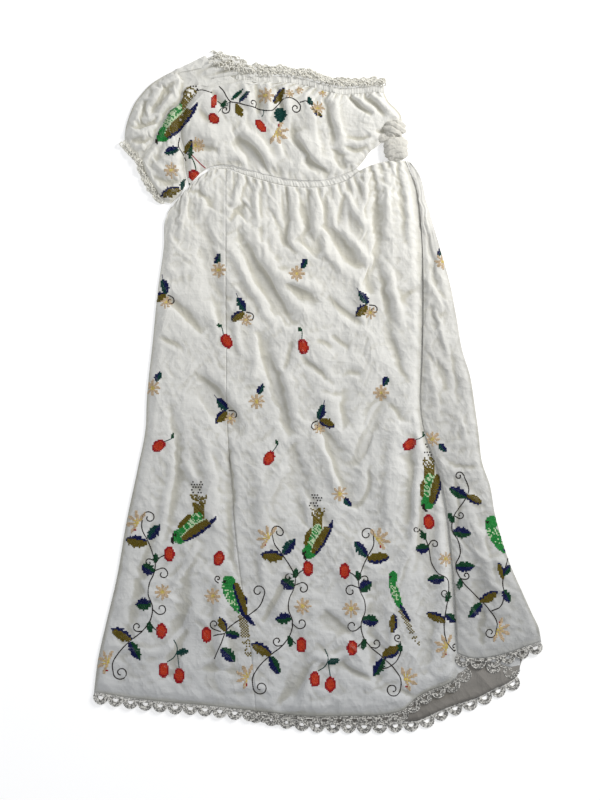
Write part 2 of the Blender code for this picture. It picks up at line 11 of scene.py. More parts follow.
import bpy
import numpy as np
from mathutils.bvhtree import BVHTree
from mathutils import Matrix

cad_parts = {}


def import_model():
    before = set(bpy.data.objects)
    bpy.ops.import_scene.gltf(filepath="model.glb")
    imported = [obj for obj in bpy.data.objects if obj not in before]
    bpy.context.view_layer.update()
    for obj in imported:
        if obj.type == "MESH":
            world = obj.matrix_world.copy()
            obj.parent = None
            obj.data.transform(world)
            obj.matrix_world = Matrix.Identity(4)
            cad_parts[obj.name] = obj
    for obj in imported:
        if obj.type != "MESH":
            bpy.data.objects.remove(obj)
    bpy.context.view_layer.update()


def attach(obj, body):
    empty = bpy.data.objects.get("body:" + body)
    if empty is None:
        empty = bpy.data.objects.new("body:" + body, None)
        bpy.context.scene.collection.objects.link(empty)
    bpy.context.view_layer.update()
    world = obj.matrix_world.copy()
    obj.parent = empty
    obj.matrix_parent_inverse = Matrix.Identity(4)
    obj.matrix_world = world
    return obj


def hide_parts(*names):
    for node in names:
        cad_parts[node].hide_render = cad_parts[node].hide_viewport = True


MM = 0.001
SHIFT = (0.0, -4.7)

# The wall of the solids, the gaps between two layers and between cloth and lace, the thickness of the thin
# shells, and how far the back panels stay inside the outline of the front ones.
WALL = 1.2
SEAM = 0.3
LACE_SEAM = 0.6
CLOTH = 0.8
BACK_INSET = 3.5

# The undersides of the three layers.
BACK_LOW = 0.0
FRONT_LOW = BACK_LOW + WALL + SEAM
SIDE_LOW = FRONT_LOW + WALL + SEAM

# The view from straight above.
VIEW_MIDDLE = (-31.5, -16.4)
VIEW_TALL = 1440.0
VIEW_HEIGHT = 2500.0

# Outlines of the skirt. Tops and hems run from left to right, sides from the waist to the hem.
SKIRT_TOP_LEFT = [
    (-264, 332), (-251, 348), (-235, 366), (-217, 384), (-194, 400), (-165, 404),
]
SKIRT_TOP_RIGHT = [
    (-165, 404), (-129, 392), (-50, 372), (-4, 370), (26, 374), (55, 384), (76, 400), (94, 409),
    (120, 416), (140, 418), (159, 418),
]
SKIRT_LEFT = [
    (-264, 332), (-273, 314), (-276, 267), (-287, 186), (-296, 96), (-307, -12), (-309, -62),
    (-323, -134), (-343, -228), (-361, -332), (-381, -417), (-395, -480), (-402, -537),
]
SKIRT_SEAM = [
    (-165, 404), (-165, 298), (-165, 186), (-164, 60), (-163, -48), (-154, -160), (-149, -233),
    (-140, -318), (-130, -390), (-118, -480), (-111, -571),
]
SKIRT_TUCK = [
    (159, 418), (177, 366), (186, 294), (190, 159), (188, 60), (190, -30), (199, -69), (220, -120),
    (238, -170), (253, -237), (262, -336), (267, -426), (269, -492),
]
PLEAT_FOLD = [
    (160, 419), (177, 372), (186, 303), (190, 168), (188, 60), (186, -30), (192, -69), (208, -114),
    (222, -159), (233, -219), (242, -309), (248, -399), (251, -467),
]
SKIRT_RIGHT = [
    (168, 413), (181, 392), (192, 356), (206, 309), (222, 255), (238, 197), (249, 141), (260, 78),
    (274, 32), (282, -19), (289, -69), (296, -125), (310, -166), (318, -213), (330, -258), (348, -312),
    (368, -357), (386, -397), (397, -420), (402, -446),
]
HEM_LEFT = [(-402, -537), (-348, -546), (-274, -555), (-194, -562), (-111, -571)]
HEM_FRONT = [
    (-111, -571), (-21, -580), (58, -580), (122, -577), (154, -569), (176, -549), (202, -534), (233, -523),
    (253, -508), (269, -492),
]
HEM_SIDE = [(251, -467), (274, -475), (310, -474), (346, -465), (377, -454), (402, -446)]
HEM_BACK = [
    (-396, -516), (-274, -534), (-176, -557), (-100, -575), (-32, -587), (58, -592), (145, -590),
    (184, -586), (208, -575), (238, -562), (284, -547), (318, -530), (339, -521), (359, -508),
]
UNDERLAY_TOP = [(298, -392), (330, -384), (366, -374)]
UNDERLAY_LEFT = [(298, -392), (300, -430), (302, -482)]
UNDERLAY_RIGHT = [(366, -374), (366, -430), (364, -500)]
UNDERLAY_HEM = [(302, -482), (334, -488), (364, -500)]

# Outlines of the bodice, the waist and the sleeve.
BODICE_TOP = [(-147, 563), (-100, 558), (-58, 558), (-22, 553), (14, 543), (46, 537), (80, 539), (120, 541)]
BODICE_LEFT = [
    (-147, 563), (-184, 555), (-213, 543), (-235, 518), (-246, 490), (-246, 465), (-240, 435),
    (-238, 406), (-231, 372),
]
BODICE_RIGHT = [(120, 541), (127, 526), (141, 512), (150, 500), (152, 490)]
BODICE_BOTTOM = [
    (-231, 372), (-217, 389), (-194, 406), (-166, 410), (-127, 402), (-50, 384), (-10, 382), (22, 385),
    (51, 395), (71, 405), (84, 420), (96, 436), (111, 447), (120, 459), (122, 472), (129, 482),
    (140, 487), (152, 490),
]
NECK_EDGE = [(x, y + 12) for x, y in BODICE_TOP]
WAIST_TOP = BODICE_BOTTOM[2:10]
WAIST_BOTTOM = SKIRT_TOP_LEFT[4:5] + SKIRT_TOP_RIGHT[:7]
FLAP_OUTER = [
    (-202, 608), (-230, 594), (-255, 582), (-280, 569), (-302, 554), (-316, 539), (-328, 523),
    (-338, 501), (-346, 471), (-347, 451),
]
FLAP_INNER = [
    (-188, 588), (-224, 582), (-251, 573), (-240, 561), (-244, 544), (-251, 521), (-267, 510),
    (-280, 489), (-291, 469), (-298, 451), (-309, 438), (-321, 422),
]
FLAP_BOTTOM = [(-347, 451), (-335, 435), (-321, 422)]
SLEEVE_LEFT = [
    (-160, 573), (-186, 566), (-208, 558), (-228, 552), (-239, 546), (-244, 530), (-251, 517), (-264, 507),
    (-277, 487), (-288, 467), (-295, 449), (-306, 436), (-318, 420), (-312, 401), (-301, 379), (-286, 357),
    (-273, 345), (-264, 341),
]
SLEEVE_TAIL = [(-237, 379), (-244, 362), (-254, 350)]
CUFF_EDGE = [(-347, 451), (-335, 435), (-321, 421), (-314, 401), (-303, 379), (-289, 358), (-277, 346)]
SLEEVE_BACK_TOP = [(-190, 606), (-160, 601), (-132, 588), (-108, 580)]
SLEEVE_BACK_LEFT = [
    (-190, 606), (-230, 590), (-280, 565), (-314, 536), (-334, 502), (-342, 465), (-342, 446),
    (-330, 427), (-318, 405), (-305, 379), (-290, 357), (-274, 347),
]
SLEEVE_BACK_RIGHT = [
    (-108, 580), (-112, 566), (-146, 561), (-180, 556), (-210, 538), (-237, 510), (-249, 468), (-247, 410),
    (-243, 372),
]
NECK_BEHIND = [
    (118, 557), (80, 556), (46, 555), (14, 561), (-22, 571), (-58, 577), (-100, 580), (-132, 589),
    (-160, 602), (-190, 607),
]

# Creases: start, middle and end, how wide each is, how far it rises or sinks, and how sharp its top is, where
# 2 is a soft wave and 1 a pressed fold.
SKIRT_CREASES = [
    ((-148, 298), (-100, 204), (-44, 118), 15, -8, 1.6),
    ((-165, 284), (-118, 190), (-71, 114), 12, 5, 2),
    ((-212, 327), (-190, 237), (-168, 114), 14, -5, 1.8),
    ((122, -3), (91, -66), (51, -149), 12, -6, 1.6),
    ((113, 147), (134, 87), (163, 15), 10, -4, 1.6),
    ((105, 348), (105, 258), (91, 177), 9, -5, 1.6),
    ((-62, 384), (-62, 321), (-57, 258), 7, -4, 1.7),
    ((-266, -12), (-251, -138), (-273, -264), 10, -4, 1.8),
    ((-161, -84), (-154, -192), (-158, -300), 8, -4, 1.8),
    ((-50, -84), (-28, -156), (22, -246), 11, -5, 1.7),
    ((-202, -66), (-190, -192), (-184, -300), 16, 4, 2),
    ((-107, -84), (-100, -192), (-100, -300), 18, 4, 2),
    ((4, 114), (22, -12), (40, -102), 20, 3, 2),
    ((140, -48), (130, -156), (122, -264), 16, 4, 2),
    ((166, -66), (168, -192), (152, -336), 10, -4, 1.8),
    ((-300, -228), (-318, -318), (-340, -440), 14, -4, 2),
    ((-235, -300), (-240, -390), (-262, -520), 16, -4, 2),
    ((-170, -330), (-176, -420), (-168, -540), 12, 4, 2),
    ((-60, -400), (-30, -470), (-40, -560), 16, -4, 2),
    ((100, -330), (96, -430), (112, -540), 14, -4, 2),
    ((180, -330), (200, -430), (190, -510), 12, -5, 2),
    ((186, -160), (196, -300), (208, -420), 12, -5, 2),
    ((-127, 309), (-78, 226), (-22, 136), 11, 4, 2),
    ((-284, 183), (-244, 147), (-206, 106), 9, -6, 1.5),
    ((-292, 104), (-266, 93), (-237, 80), 6, -2, 1.3),
    ((-266, 208), (-244, 217), (-220, 222), 8, 2.5, 1.6),
    ((-226, 39), (-176, -12), (-140, -84), 21, -7, 1.8),
    ((-204, 50), (-165, 3), (-129, -33), 14, 3, 2),
    ((-112, 105), (-111, 60), (-118, 17), 9, 4, 1.6),
    ((-108, 114), (-75, 3), (-46, -84), 12, -7, 1.6),
    ((-46, -84), (-39, -156), (-22, -242), 12, -5, 1.6),
    ((-82, 87), (-53, 10), (-35, -66), 10, 3.5, 2),
    ((-44, 105), (-57, 50), (-76, 24), 7, -2.5, 1.5),
    ((10, 308), (46, 258), (74, 222), 11, -7, 1.5),
    ((33, 312), (69, 269), (102, 226), 9, 4, 1.7),
    ((1, 276), (30, 237), (58, 204), 9, 3, 2),
    ((50, 366), (69, 327), (100, 291), 8, 5, 1.4),
    ((-36, 285), (-14, 268), (6, 250), 14, -6, 2),
    ((-71, 199), (-35, 183), (1, 161), 11, -3.5, 2),
    ((-68, 213), (-32, 197), (8, 183), 9, 3, 2),
    ((19, 177), (44, 150), (78, 130), 7, -3, 1.5),
    ((86, 233), (91, 204), (96, 172), 7, -3.5, 1.5),
    ((69, 212), (80, 168), (76, 129), 7, 3, 1.7),
    ((109, 237), (120, 168), (134, 104), 9, -4, 1.6),
    ((127, 237), (140, 172), (156, 114), 9, 3.5, 1.8),
    ((184, 195), (166, 179), (145, 161), 8, -2.5, 1.6),
    ((-4, 100), (10, 93), (26, 82), 5, -2.5, 1.3),
    ((22, 104), (40, 94), (58, 82), 5, -2.5, 1.3),
    ((-32, 66), (1, 42), (32, 14), 6, -2.5, 1.4),
    ((40, 32), (58, 37), (78, 35), 5, -2, 1.3),
    ((6, 10), (22, 3), (44, -1), 5, -2, 1.3),
    ((50, 15), (46, -26), (51, -69), 8, -2.5, 2),
    ((127, -3), (98, -19), (78, -62), 7, -2.5, 1.5),
    ((127, -15), (141, -30), (154, -53), 6, -2.5, 1.4),
    ((-235, -111), (-228, -138), (-217, -166), 7, 3.5, 1.4),
    ((-256, -66), (-266, -156), (-291, -292), 7, 2.5, 1.3),
    ((-163, -48), (-154, -159), (-148, -233), 6, -2, 1.2),
    ((-148, -233), (-152, -292), (-129, -354), 6, -2, 1.2),
    ((-62, -132), (-80, -166), (-102, -195), 6, 3.5, 1.3),
    ((-212, -264), (-233, -300), (-264, -346), 4, 3, 1.1),
    ((-212, -381), (-244, -426), (-284, -476), 4, 3, 1.1),
    ((-57, -323), (-75, -368), (-102, -410), 7, -4, 1.4),
    ((-42, -318), (-57, -364), (-82, -411), 8, 3, 1.8),
    ((-208, -494), (-172, -494), (-134, -508), 6, -2.5, 1.4),
    ((-24, -490), (-46, -523), (-73, -568), 10, -5, 1.6),
    ((-3, -494), (-24, -534), (-46, -573), 9, 4, 1.8),
    ((1, -60), (19, -120), (46, -188), 8, 5, 1.5),
    ((-4, -40), (32, -120), (64, -213), 12, -7, 1.7),
    ((33, -112), (53, -122), (73, -116), 4, -2.5, 1.2),
    ((93, -122), (89, -170), (66, -210), 7, -3, 1.5),
    ((4, -393), (30, -411), (58, -433), 14, -4, 2),
    ((-12, -472), (22, -476), (62, -465), 6, 4, 1.3),
    ((39, -482), (62, -498), (98, -510), 6, -3, 1.4),
    ((186, 39), (184, -66), (179, -141), 12, 3.5, 2),
    ((180, -130), (172, -236), (146, -327), 12, 6.5, 1.8),
    ((197, -150), (194, -240), (174, -334), 12, -5, 1.8),
    ((258, -480), (242, -494), (220, -519), 5, 3, 1.3),
    ((152, -532), (166, -541), (179, -555), 5, -2.5, 1.4),
    ((-89, 339), (-75, 309), (-37, 248), 8, -4, 1.6),
    ((-60, 366), (-57, 321), (-60, 267), 6, -3.5, 1.5),
    ((-21, 363), (-21, 321), (-14, 276), 7, -4, 1.6),
    ((15, 366), (14, 327), (15, 291), 6, -3.5, 1.5),
    ((102, 399), (105, 348), (102, 284), 6, -3.5, 1.5),
    ((50, 375), (42, 339), (37, 298), 6, -3, 1.5),
    ((-39, 366), (-39, 327), (-35, 284), 6, 3.5, 1.8),
    ((-3, 366), (-3, 327), (1, 284), 6, 3.5, 1.8),
    ((87, 399), (84, 348), (80, 298), 7, 4, 1.8),
    ((123, 406), (127, 348), (123, 276), 8, 4, 1.8),
    ((141, 411), (152, 348), (156, 266), 7, -3.5, 1.6),
    ((-213, 366), (-201, 348), (-186, 332), 9, -4, 1.6),
    ((-215, 255), (-194, 248), (-174, 233), 9, -3.5, 1.6),
    ((-161, 339), (-147, 328), (-130, 314), 6, -4, 1.3),
    ((-129, 341), (-143, 327), (-158, 309), 6, -3, 1.3),
    ((-197, 392), (-204, 348), (-212, 302), 7, 3.5, 1.8),
    ((-230, 363), (-237, 323), (-248, 276), 7, 3.5, 1.8),
    ((-140, 388), (-147, 356), (-154, 323), 7, 3.5, 1.8),
    ((-111, 381), (-111, 341), (-100, 298), 7, 3.5, 1.8),
    ((-338, -372), (-284, -364), (-230, -379), 4, 1.6, 1.2),
    ((-382, -444), (-302, -462), (-230, -451), 4, 1.8, 1.2),
    ((-356, -300), (-327, -327), (-302, -354), 5, 1.8, 1.3),
    ((-202, -84), (-186, -156), (-190, -246), 8, 2, 2),
    ((-86, -228), (-100, -300), (-89, -372), 9, 2.5, 2),
    ((76, -246), (69, -318), (80, -390), 10, 2.5, 2),
    ((122, -372), (134, -444), (120, -516), 8, 2.5, 1.8),
    ((-122, -444), (-100, -462), (-82, -454), 5, 2, 1.3),
    ((-176, -534), (-122, -526), (-68, -541), 6, 2, 1.6),
    ((-302, -192), (-309, -264), (-330, -336), 8, 2, 2),
    ((-140, 168), (-147, 114), (-132, 60), 8, 2.5, 2),
    ((-194, 168), (-186, 132), (-183, 87), 7, 2.5, 2),
]
SIDE_CREASES = [
    ((199, 220), (212, 172), (227, 145), 9, 4, 1.6),
    ((215, 66), (222, 40), (232, 0), 9, -4, 1.6),
    ((256, -125), (276, -122), (297, -120), 2.5, 2.2, 1.2),
    ((226, -120), (250, -128), (286, -132), 6, -1.5, 1.6),
    ((262, -180), (292, -260), (340, -400), 14, 4, 2),
    ((280, -330), (292, -400), (300, -470), 10, -3, 2),
    ((196, 300), (206, 240), (214, 180), 7, -3, 1.6),
    ((244, -140), (252, -200), (246, -262), 5, -2.5, 1.4),
    ((300, -250), (312, -300), (330, -352), 6, -2.5, 1.5),
    ((206, 170), (222, 110), (236, 60), 7, 3, 1.6),
    ((200, 60), (208, 10), (216, -50), 7, 3, 1.8),
    ((236, 90), (246, 40), (252, -20), 6, -2.5, 1.5),
    ((250, -30), (262, -60), (268, -96), 6, 2.5, 1.5),
    ((262, -170), (284, -190), (304, -196), 5, 2, 1.4),
    ((270, -270), (310, -300), (336, -296), 5, 2, 1.4),
    ((300, -330), (330, -352), (356, -356), 5, 1.6, 1.3),
]
BODICE_CREASES = [
    ((-148, 460), (-120, 436), (-92, 398), 12, -9, 1.8),
    ((-100, 404), (-88, 394), (-60, 388), 9, -6, 1.6),
    ((-140, 480), (-104, 448), (-78, 408), 11, 5, 2),
    ((-230, 470), (-190, 462), (-150, 470), 14, 5, 2),
    ((-238, 446), (-214, 440), (-176, 436), 6, -4, 1.4),
    ((-48, 503), (-41, 456), (-16, 420), 9, -3, 1.6),
    ((-22, 424), (0, 404), (22, 391), 8, -6, 1.6),
    ((-30, 470), (-14, 440), (10, 408), 9, 5, 2),
    ((12, 536), (24, 482), (33, 434), 8, -3, 1.5),
    ((33, 440), (40, 416), (50, 402), 8, -6, 1.6),
    ((28, 540), (40, 486), (48, 430), 9, 3, 1.9),
    ((-58, 540), (-50, 490), (-46, 470), 9, 2.5, 1.8),
    ((-14, 536), (-6, 480), (6, 430), 9, 3, 1.8),
    ((46, 540), (70, 520), (98, 499), 5, -4, 1.5),
    ((56, 541), (80, 524), (108, 508), 5, 3.5, 1.6),
    ((78, 540), (100, 520), (126, 493), 5, -3.5, 1.5),
    ((92, 540), (112, 522), (134, 502), 5, 3.5, 1.6),
    ((52, 462), (72, 456), (96, 462), 4, -3, 1.4),
    ((50, 444), (72, 436), (92, 446), 4, -3, 1.4),
    ((56, 452), (78, 446), (100, 456), 4, 2.5, 1.6),
    ((46, 424), (62, 418), (82, 430), 5, 3, 1.6),
    ((104, 470), (116, 468), (128, 484), 5, -4, 1.4),
    ((-212, 510), (-196, 492), (-174, 484), 7, -3, 1.6),
    ((-190, 540), (-176, 520), (-160, 508), 6, -3, 1.6),
    ((-132, 552), (-124, 530), (-120, 508), 6, 3.5, 1.6),
    ((-110, 552), (-106, 526), (-108, 500), 6, -3.5, 1.6),
    ((-90, 552), (-84, 520), (-90, 486), 7, 3.5, 1.8),
    ((-72, 552), (-66, 524), (-62, 500), 5, -3, 1.6),
    ((-200, 424), (-160, 420), (-124, 426), 7, 3.5, 1.8),
    ((-180, 410), (-150, 414), (-130, 408), 5, -3, 1.5),
    ((-84, 470), (-70, 446), (-62, 420), 7, 3, 1.8),
]
SLEEVE_CREASES = [
    ((-250, 500), (-280, 450), (-300, 400), 12, -4, 1.8),
    ((-236, 440), (-262, 420), (-290, 410), 8, 4, 1.8),
    ((-300, 392), (-262, 380), (-238, 384), 8, -4, 1.6),
    ((-296, 412), (-268, 398), (-244, 404), 6, 3, 1.6),
    ((-288, 366), (-270, 368), (-252, 362), 6, 3, 1.6),
    ((-262, 500), (-268, 474), (-284, 462), 6, 3, 1.6),
    ((-246, 480), (-254, 450), (-252, 424), 6, -3, 1.6),
]
FLAP_CREASES = [
    ((-206, 602), (-240, 584), (-268, 560), 6, -4, 1.5),
    ((-215, 590), (-262, 566), (-312, 510), 8, 4, 1.8),
    ((-212, 584), (-232, 578), (-246, 566), 5, -4, 1.5),
    ((-262, 556), (-284, 530), (-300, 500), 6, -4, 1.5),
    ((-250, 546), (-272, 520), (-284, 500), 5, 3, 1.6),
    ((-300, 548), (-314, 510), (-322, 470), 5, -3, 1.5),
    ((-280, 540), (-300, 530), (-318, 530), 5, 3, 1.6),
    ((-286, 496), (-304, 484), (-330, 488), 5, -4, 1.4),
    ((-290, 480), (-308, 468), (-336, 470), 5, 3.5, 1.6),
    ((-298, 462), (-312, 452), (-336, 452), 5, -4, 1.4),
    ((-306, 446), (-318, 440), (-332, 440), 4, 3.5, 1.5),
    ((-256, 532), (-268, 540), (-286, 556), 4, -3, 1.4),
]


def smooth_line(points, stops):
    """Points on a smooth curve through the given ones, at stops from 0 to 1 along its length."""
    points = np.asarray(points, float)
    lengths = np.linalg.norm(np.diff(points, axis=0), axis=1)
    marks = np.concatenate([[0.0], np.cumsum(lengths)])
    slopes = np.gradient(points, marks, axis=0)
    at = np.clip(np.asarray(stops, float), 0, 1) * marks[-1]
    index = np.clip(np.searchsorted(marks, at, side="right") - 1, 0, len(lengths) - 1)
    span = lengths[index][:, None]
    along = ((at - marks[index]) / lengths[index])[:, None]
    back = 1 - along
    return (
        (1 + 2 * along) * back**2 * points[index]
        + along * back**2 * span * slopes[index]
        + (3 - 2 * along) * along**2 * points[index + 1]
        - back * along**2 * span * slopes[index + 1]
    )


def patch_points(edges, across, down):
    """Points of the patch between four edge curves: top, bottom, left and right."""
    top, bottom, left, right = edges
    across = np.asarray(across, float)
    down = np.full_like(across, down)
    from_top = smooth_line(top, across)
    from_bottom = smooth_line(bottom, across)
    from_left = smooth_line(left, down)
    from_right = smooth_line(right, down)
    across = across[:, None]
    down = down[:, None]
    corners = (
        (1 - across) * (1 - down) * np.asarray(top[0], float)
        + across * (1 - down) * np.asarray(top[-1], float)
        + (1 - across) * down * np.asarray(bottom[0], float)
        + across * down * np.asarray(bottom[-1], float)
    )
    return (
        (1 - down) * from_top + down * from_bottom + (1 - across) * from_left + across * from_right - corners
    )


def eased(value):
    """A soft step from 0 to 1."""
    value = np.clip(value, 0, 1)
    return value * value * (3 - 2 * value)


def fading(distance, length, power):
    """1 at an edge and towards 0 beyond a length from it, more suddenly with a higher power."""
    return np.exp(-((distance / length) ** power))


def shifted(line, by):
    return [(x + by[0], y + by[1]) for x, y in line]


def beside(points, line):
    """How far each point lies to the left of a line that runs down the garment."""
    line = np.asarray(line, float)[::-1]
    return np.interp(points[:, 1], line[:, 1], line[:, 0]) - points[:, 0]


def measured(edge, count):
    """Points along a smooth edge, the direction of the edge at each, and its length."""
    points = smooth_line(edge, np.linspace(0, 1, count))
    slopes = np.gradient(points, axis=0)
    slopes /= np.linalg.norm(slopes, axis=1)[:, None]
    return points, slopes, np.linalg.norm(np.diff(points, axis=0), axis=1).sum()


def sideways(line, by, count):
    """A smooth line moved to its left by a distance."""
    points, slopes, _ = measured(line, count)
    return points + by * np.column_stack([-slopes[:, 1], slopes[:, 0]])


def near_line(points, line, reach):
    """The points within reach of a smooth line: their numbers, how far to its left, and how far along it."""
    marks = smooth_line(line, np.linspace(0, 1, 25))
    inside = (points > marks.min(axis=0) - reach) & (points < marks.max(axis=0) + reach)
    index = np.flatnonzero(inside.all(axis=1))
    span = np.diff(marks, axis=0)
    away = points[index][:, None, :] - marks[None, :-1, :]
    share = np.clip((away * span).sum(axis=2) / (span**2).sum(axis=1), 0, 1)
    away -= share[..., None] * span
    length = np.linalg.norm(away, axis=2)
    best = length.argmin(axis=1)
    row = np.arange(len(index))
    side = np.sign(span[best, 0] * away[row, best, 1] - span[best, 1] * away[row, best, 0])
    return index, side * length[row, best], (best + share[row, best]) / len(span)


def edge_room(plan, line, width):
    """0 on a line and 1 once the cloth is a width away from it."""
    room = np.ones(len(plan))
    index, away, _ = near_line(plan, line, width)
    room[index] = eased(np.abs(away) / width)
    return room


def mixed_number(column, row, seed):
    """A number from 0 to 1 for each square of a grid, the same each run."""
    value = (column * 374761393 + row * 668265263 + seed * 1274126177) & 0xFFFFFFFF
    value = ((value ^ (value >> 13)) * 1274126177) & 0xFFFFFFFF
    return (value ^ (value >> 16)) / 0xFFFFFFFF


def soft_noise(x, y, seed):
    """Smooth hills and hollows about one unit across, from -1 to 1."""
    column = np.floor(x).astype(np.int64)
    row = np.floor(y).astype(np.int64)
    along = x - column
    up = y - row
    ease_x = along**3 * (along * (along * 6 - 15) + 10)
    ease_y = up**3 * (up * (up * 6 - 15) + 10)
    corners = []
    for step_y in (0, 1):
        for step_x in (0, 1):
            turn = 2 * math.pi * mixed_number(column + step_x, row + step_y, seed)
            corners.append(np.cos(turn) * (along - step_x) + np.sin(turn) * (up - step_y))
    lower = corners[0] + ease_x * (corners[1] - corners[0])
    upper = corners[2] + ease_x * (corners[3] - corners[2])
    return 1.5 * (lower + ease_y * (upper - lower))


def layered_noise(x, y, seed, layers=3):
    return sum(soft_noise(x * 2**step, y * 2**step, seed + step) / 2**step for step in range(layers))


def sharp_creases(plan, seed, degrees, long, short, thin):
    """Thin crumpled ridges, from 0 to 1, that run in about one direction and come and go."""
    turn = math.radians(degrees)
    x = (plan[:, 0] * math.cos(turn) + plan[:, 1] * math.sin(turn)) / long
    y = (plan[:, 1] * math.cos(turn) - plan[:, 0] * math.sin(turn)) / short
    bend = 0.35 * soft_noise(x * 1.7, y * 1.7, seed + 7)
    ridge = np.clip(1 - np.abs(soft_noise(x + bend, y + bend, seed)) * thin, 0, 1) ** 2
    return ridge * eased(soft_noise(x * 0.8 + 11, y * 0.8, seed + 3) * 1.6 + 0.2)


def gather_marks(count, seed):
    """Where each gather begins and ends along an edge, from 0 to 1, as uneven as hand gathering."""
    draw = random.Random(seed)
    widths = np.array([draw.uniform(0.7, 1.35) for _ in range(count)])
    return np.concatenate([[0.0], np.cumsum(widths) / widths.sum()])


def gather_heights(across, marks, seed, least=0.55, power=2.0):
    """The height of the gathers at each place across, from 0 between them to 1 on the highest."""
    draw = random.Random(seed)
    tops = np.array([draw.uniform(least, 1.0) for _ in range(len(marks) - 1)])
    index = np.clip(np.searchsorted(marks, across, side="right") - 1, 0, len(tops) - 1)
    phase = np.clip((across - marks[index]) / (marks[index + 1] - marks[index]), 0, 1)
    return tops[index] * np.sin(math.pi * phase) ** power


def crease_heights(plan, creases, wander=2.5, seed=400):
    """What the creases of a table add at each point. Each is steeper on one side, as folded cloth is."""
    bent = plan + wander * np.column_stack(
        [
            soft_noise(plan[:, 0] / 32, plan[:, 1] / 32, seed),
            soft_noise(plan[:, 0] / 32, plan[:, 1] / 32, seed + 1),
        ]
    )
    heights = np.zeros(len(plan))
    for number, (start, middle, end, width, rise, power) in enumerate(creases):
        index, away, along = near_line(bent, (start, middle, end), 3.4 * width)
        lean = 1.3 if number % 2 else 0.77
        reach = width * np.where(away > 0, lean, 1 / lean)
        fade = np.sin(math.pi * np.clip(along, 0, 1)) ** 0.7
        heights[index] += rise * fade * fading(np.abs(away), reach, power)
    return heights


def smoothed(grid, times):
    """A grid of heights with each one drawn towards its neighbours, a number of times."""
    for _ in range(times):
        padded = np.pad(grid, 1, mode="edge")
        grid = (padded[:-2, 1:-1] + padded[2:, 1:-1] + padded[1:-1, :-2] + padded[1:-1, 2:]) / 8 + grid / 2
    return grid


def placed(points):
    """Points in millimetres as points in metres, with the garment's middle over the origin."""
    points = np.asarray(points, float)
    return (points + (*SHIFT, 0.0)) * MM


def new_object(name, points, faces, surface):
    """An object in the garment from points in millimetres."""
    mesh = bpy.data.meshes.new(name)
    mesh.from_pydata(placed(points).tolist(), [], faces.tolist() if hasattr(faces, "tolist") else faces)
    mesh.materials.append(surface)
    mesh.shade_smooth()
    made = bpy.data.objects.new(name, mesh)
    bpy.context.scene.collection.objects.link(made)
    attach(made, "root")
    return made


class Covers:
    """The upper faces of the cloth, by panel, for the stitches and cords that lie on them."""

    def __init__(self):
        self.points = []
        self.faces = []
        self.panels = []
        self.tree = None

    def add(self, panel, points, faces):
        start = sum(map(len, self.points))
        self.points.append(points)
        self.faces.append(faces + start)
        self.panels += [panel] * len(faces)

    def under(self, plan):
        """The panel and the height of the cloth that shows at each place."""
        if self.tree is None:
            points = np.concatenate(self.points)
            faces = np.concatenate(self.faces)
            self.tree = BVHTree.FromPolygons(points.tolist(), faces.tolist())
        found = []
        for x, y in plan:
            hit = self.tree.ray_cast((x, y, 100.0), (0.0, 0.0, -1.0))
            found.append((self.panels[hit[2]], hit[0].z) if hit[0] is not None else (None, 0.0))
        return found


COVERS = Covers()


def pull_together(points, free, first, second, rest, stiffness, push_only=False):
    """Moves pairs of points, each pair a part of the way, towards their rest distance."""
    one, two = points[first], points[second]
    one_free, two_free = free[first], free[second]
    gap = two - one
    length = np.sqrt(np.einsum("ijk,ijk->ij", gap, gap))
    share = stiffness * (1 - rest / np.maximum(length, 1e-6))
    if push_only:
        share = np.minimum(share, 0)
    move = gap * (share / np.maximum(one_free + two_free, 1e-6))[..., None]
    one += move * one_free[..., None]
    two -= move * two_free[..., None]


def spaced(count, apart, start):
    """Slices of the first and second members of the pairs that lie apart, none sharing a member."""
    pairs = max((count - start - apart - 1) // (2 * apart) + 1, 0)
    return slice(start, start + 2 * apart * (pairs - 1) + 1, 2 * apart), slice(
        start + apart, start + apart + 2 * apart * (pairs - 1) + 1, 2 * apart
    ), pairs


def relax(points, target, rest_x, rest_y, rest_right, rest_left, free, steps, top):
    """Lets a grid of cloth buckle: its threads keep their length, it bends unwillingly, it shears easily, it
    is drawn softly to its target heights, and it stays between the floor and the top."""
    two_x = rest_x[:, :-1] + rest_x[:, 1:]
    two_y = rest_y[:-1] + rest_y[1:]
    rows, columns = free.shape
    every = slice(None)
    for _ in range(steps):
        points[..., 2] += (target - points[..., 2]) * HOLD * free
        for start in (0, 1):
            first, second, pairs = spaced(columns, 1, start)
            if pairs:
                pull_together(points, free, (every, first), (every, second), rest_x[:, first], 1.0)
            first, second, pairs = spaced(rows, 1, start)
            if pairs:
                pull_together(points, free, (first, every), (second, every), rest_y[first], 1.0)
                left, right = slice(0, columns - 1), slice(1, columns)
                pull_together(points, free, (first, left), (second, right), rest_right[first], SHEARING)
                pull_together(points, free, (first, right), (second, left), rest_left[first], SHEARING)
        for start in range(4):
            first, second, pairs = spaced(columns, 2, start)
            if pairs:
                pull_together(points, free, (every, first), (every, second), two_x[:, first], BENDING, True)
            first, second, pairs = spaced(rows, 2, start)
            if pairs:
                pull_together(points, free, (first, every), (second, every), two_y[first], BENDING, True)
        np.clip(points[..., 2], 0, top, out=points[..., 2])


def resampled(grid, rows, columns):
    """A grid of vectors with another number of rows and columns."""
    down = np.linspace(0, grid.shape[0] - 1, rows)
    across = np.linspace(0, grid.shape[1] - 1, columns)
    row = np.minimum(down.astype(int), grid.shape[0] - 2)
    column = np.minimum(across.astype(int), grid.shape[1] - 2)
    part_down = (down - row)[:, None, None]
    part_across = (across - column)[None, :, None]
    upper = (1 - part_across) * grid[row][:, column] + part_across * grid[row][:, column + 1]
    lower = (1 - part_across) * grid[row + 1][:, column] + part_across * grid[row + 1][:, column + 1]
    return (1 - part_down) * upper + part_down * lower


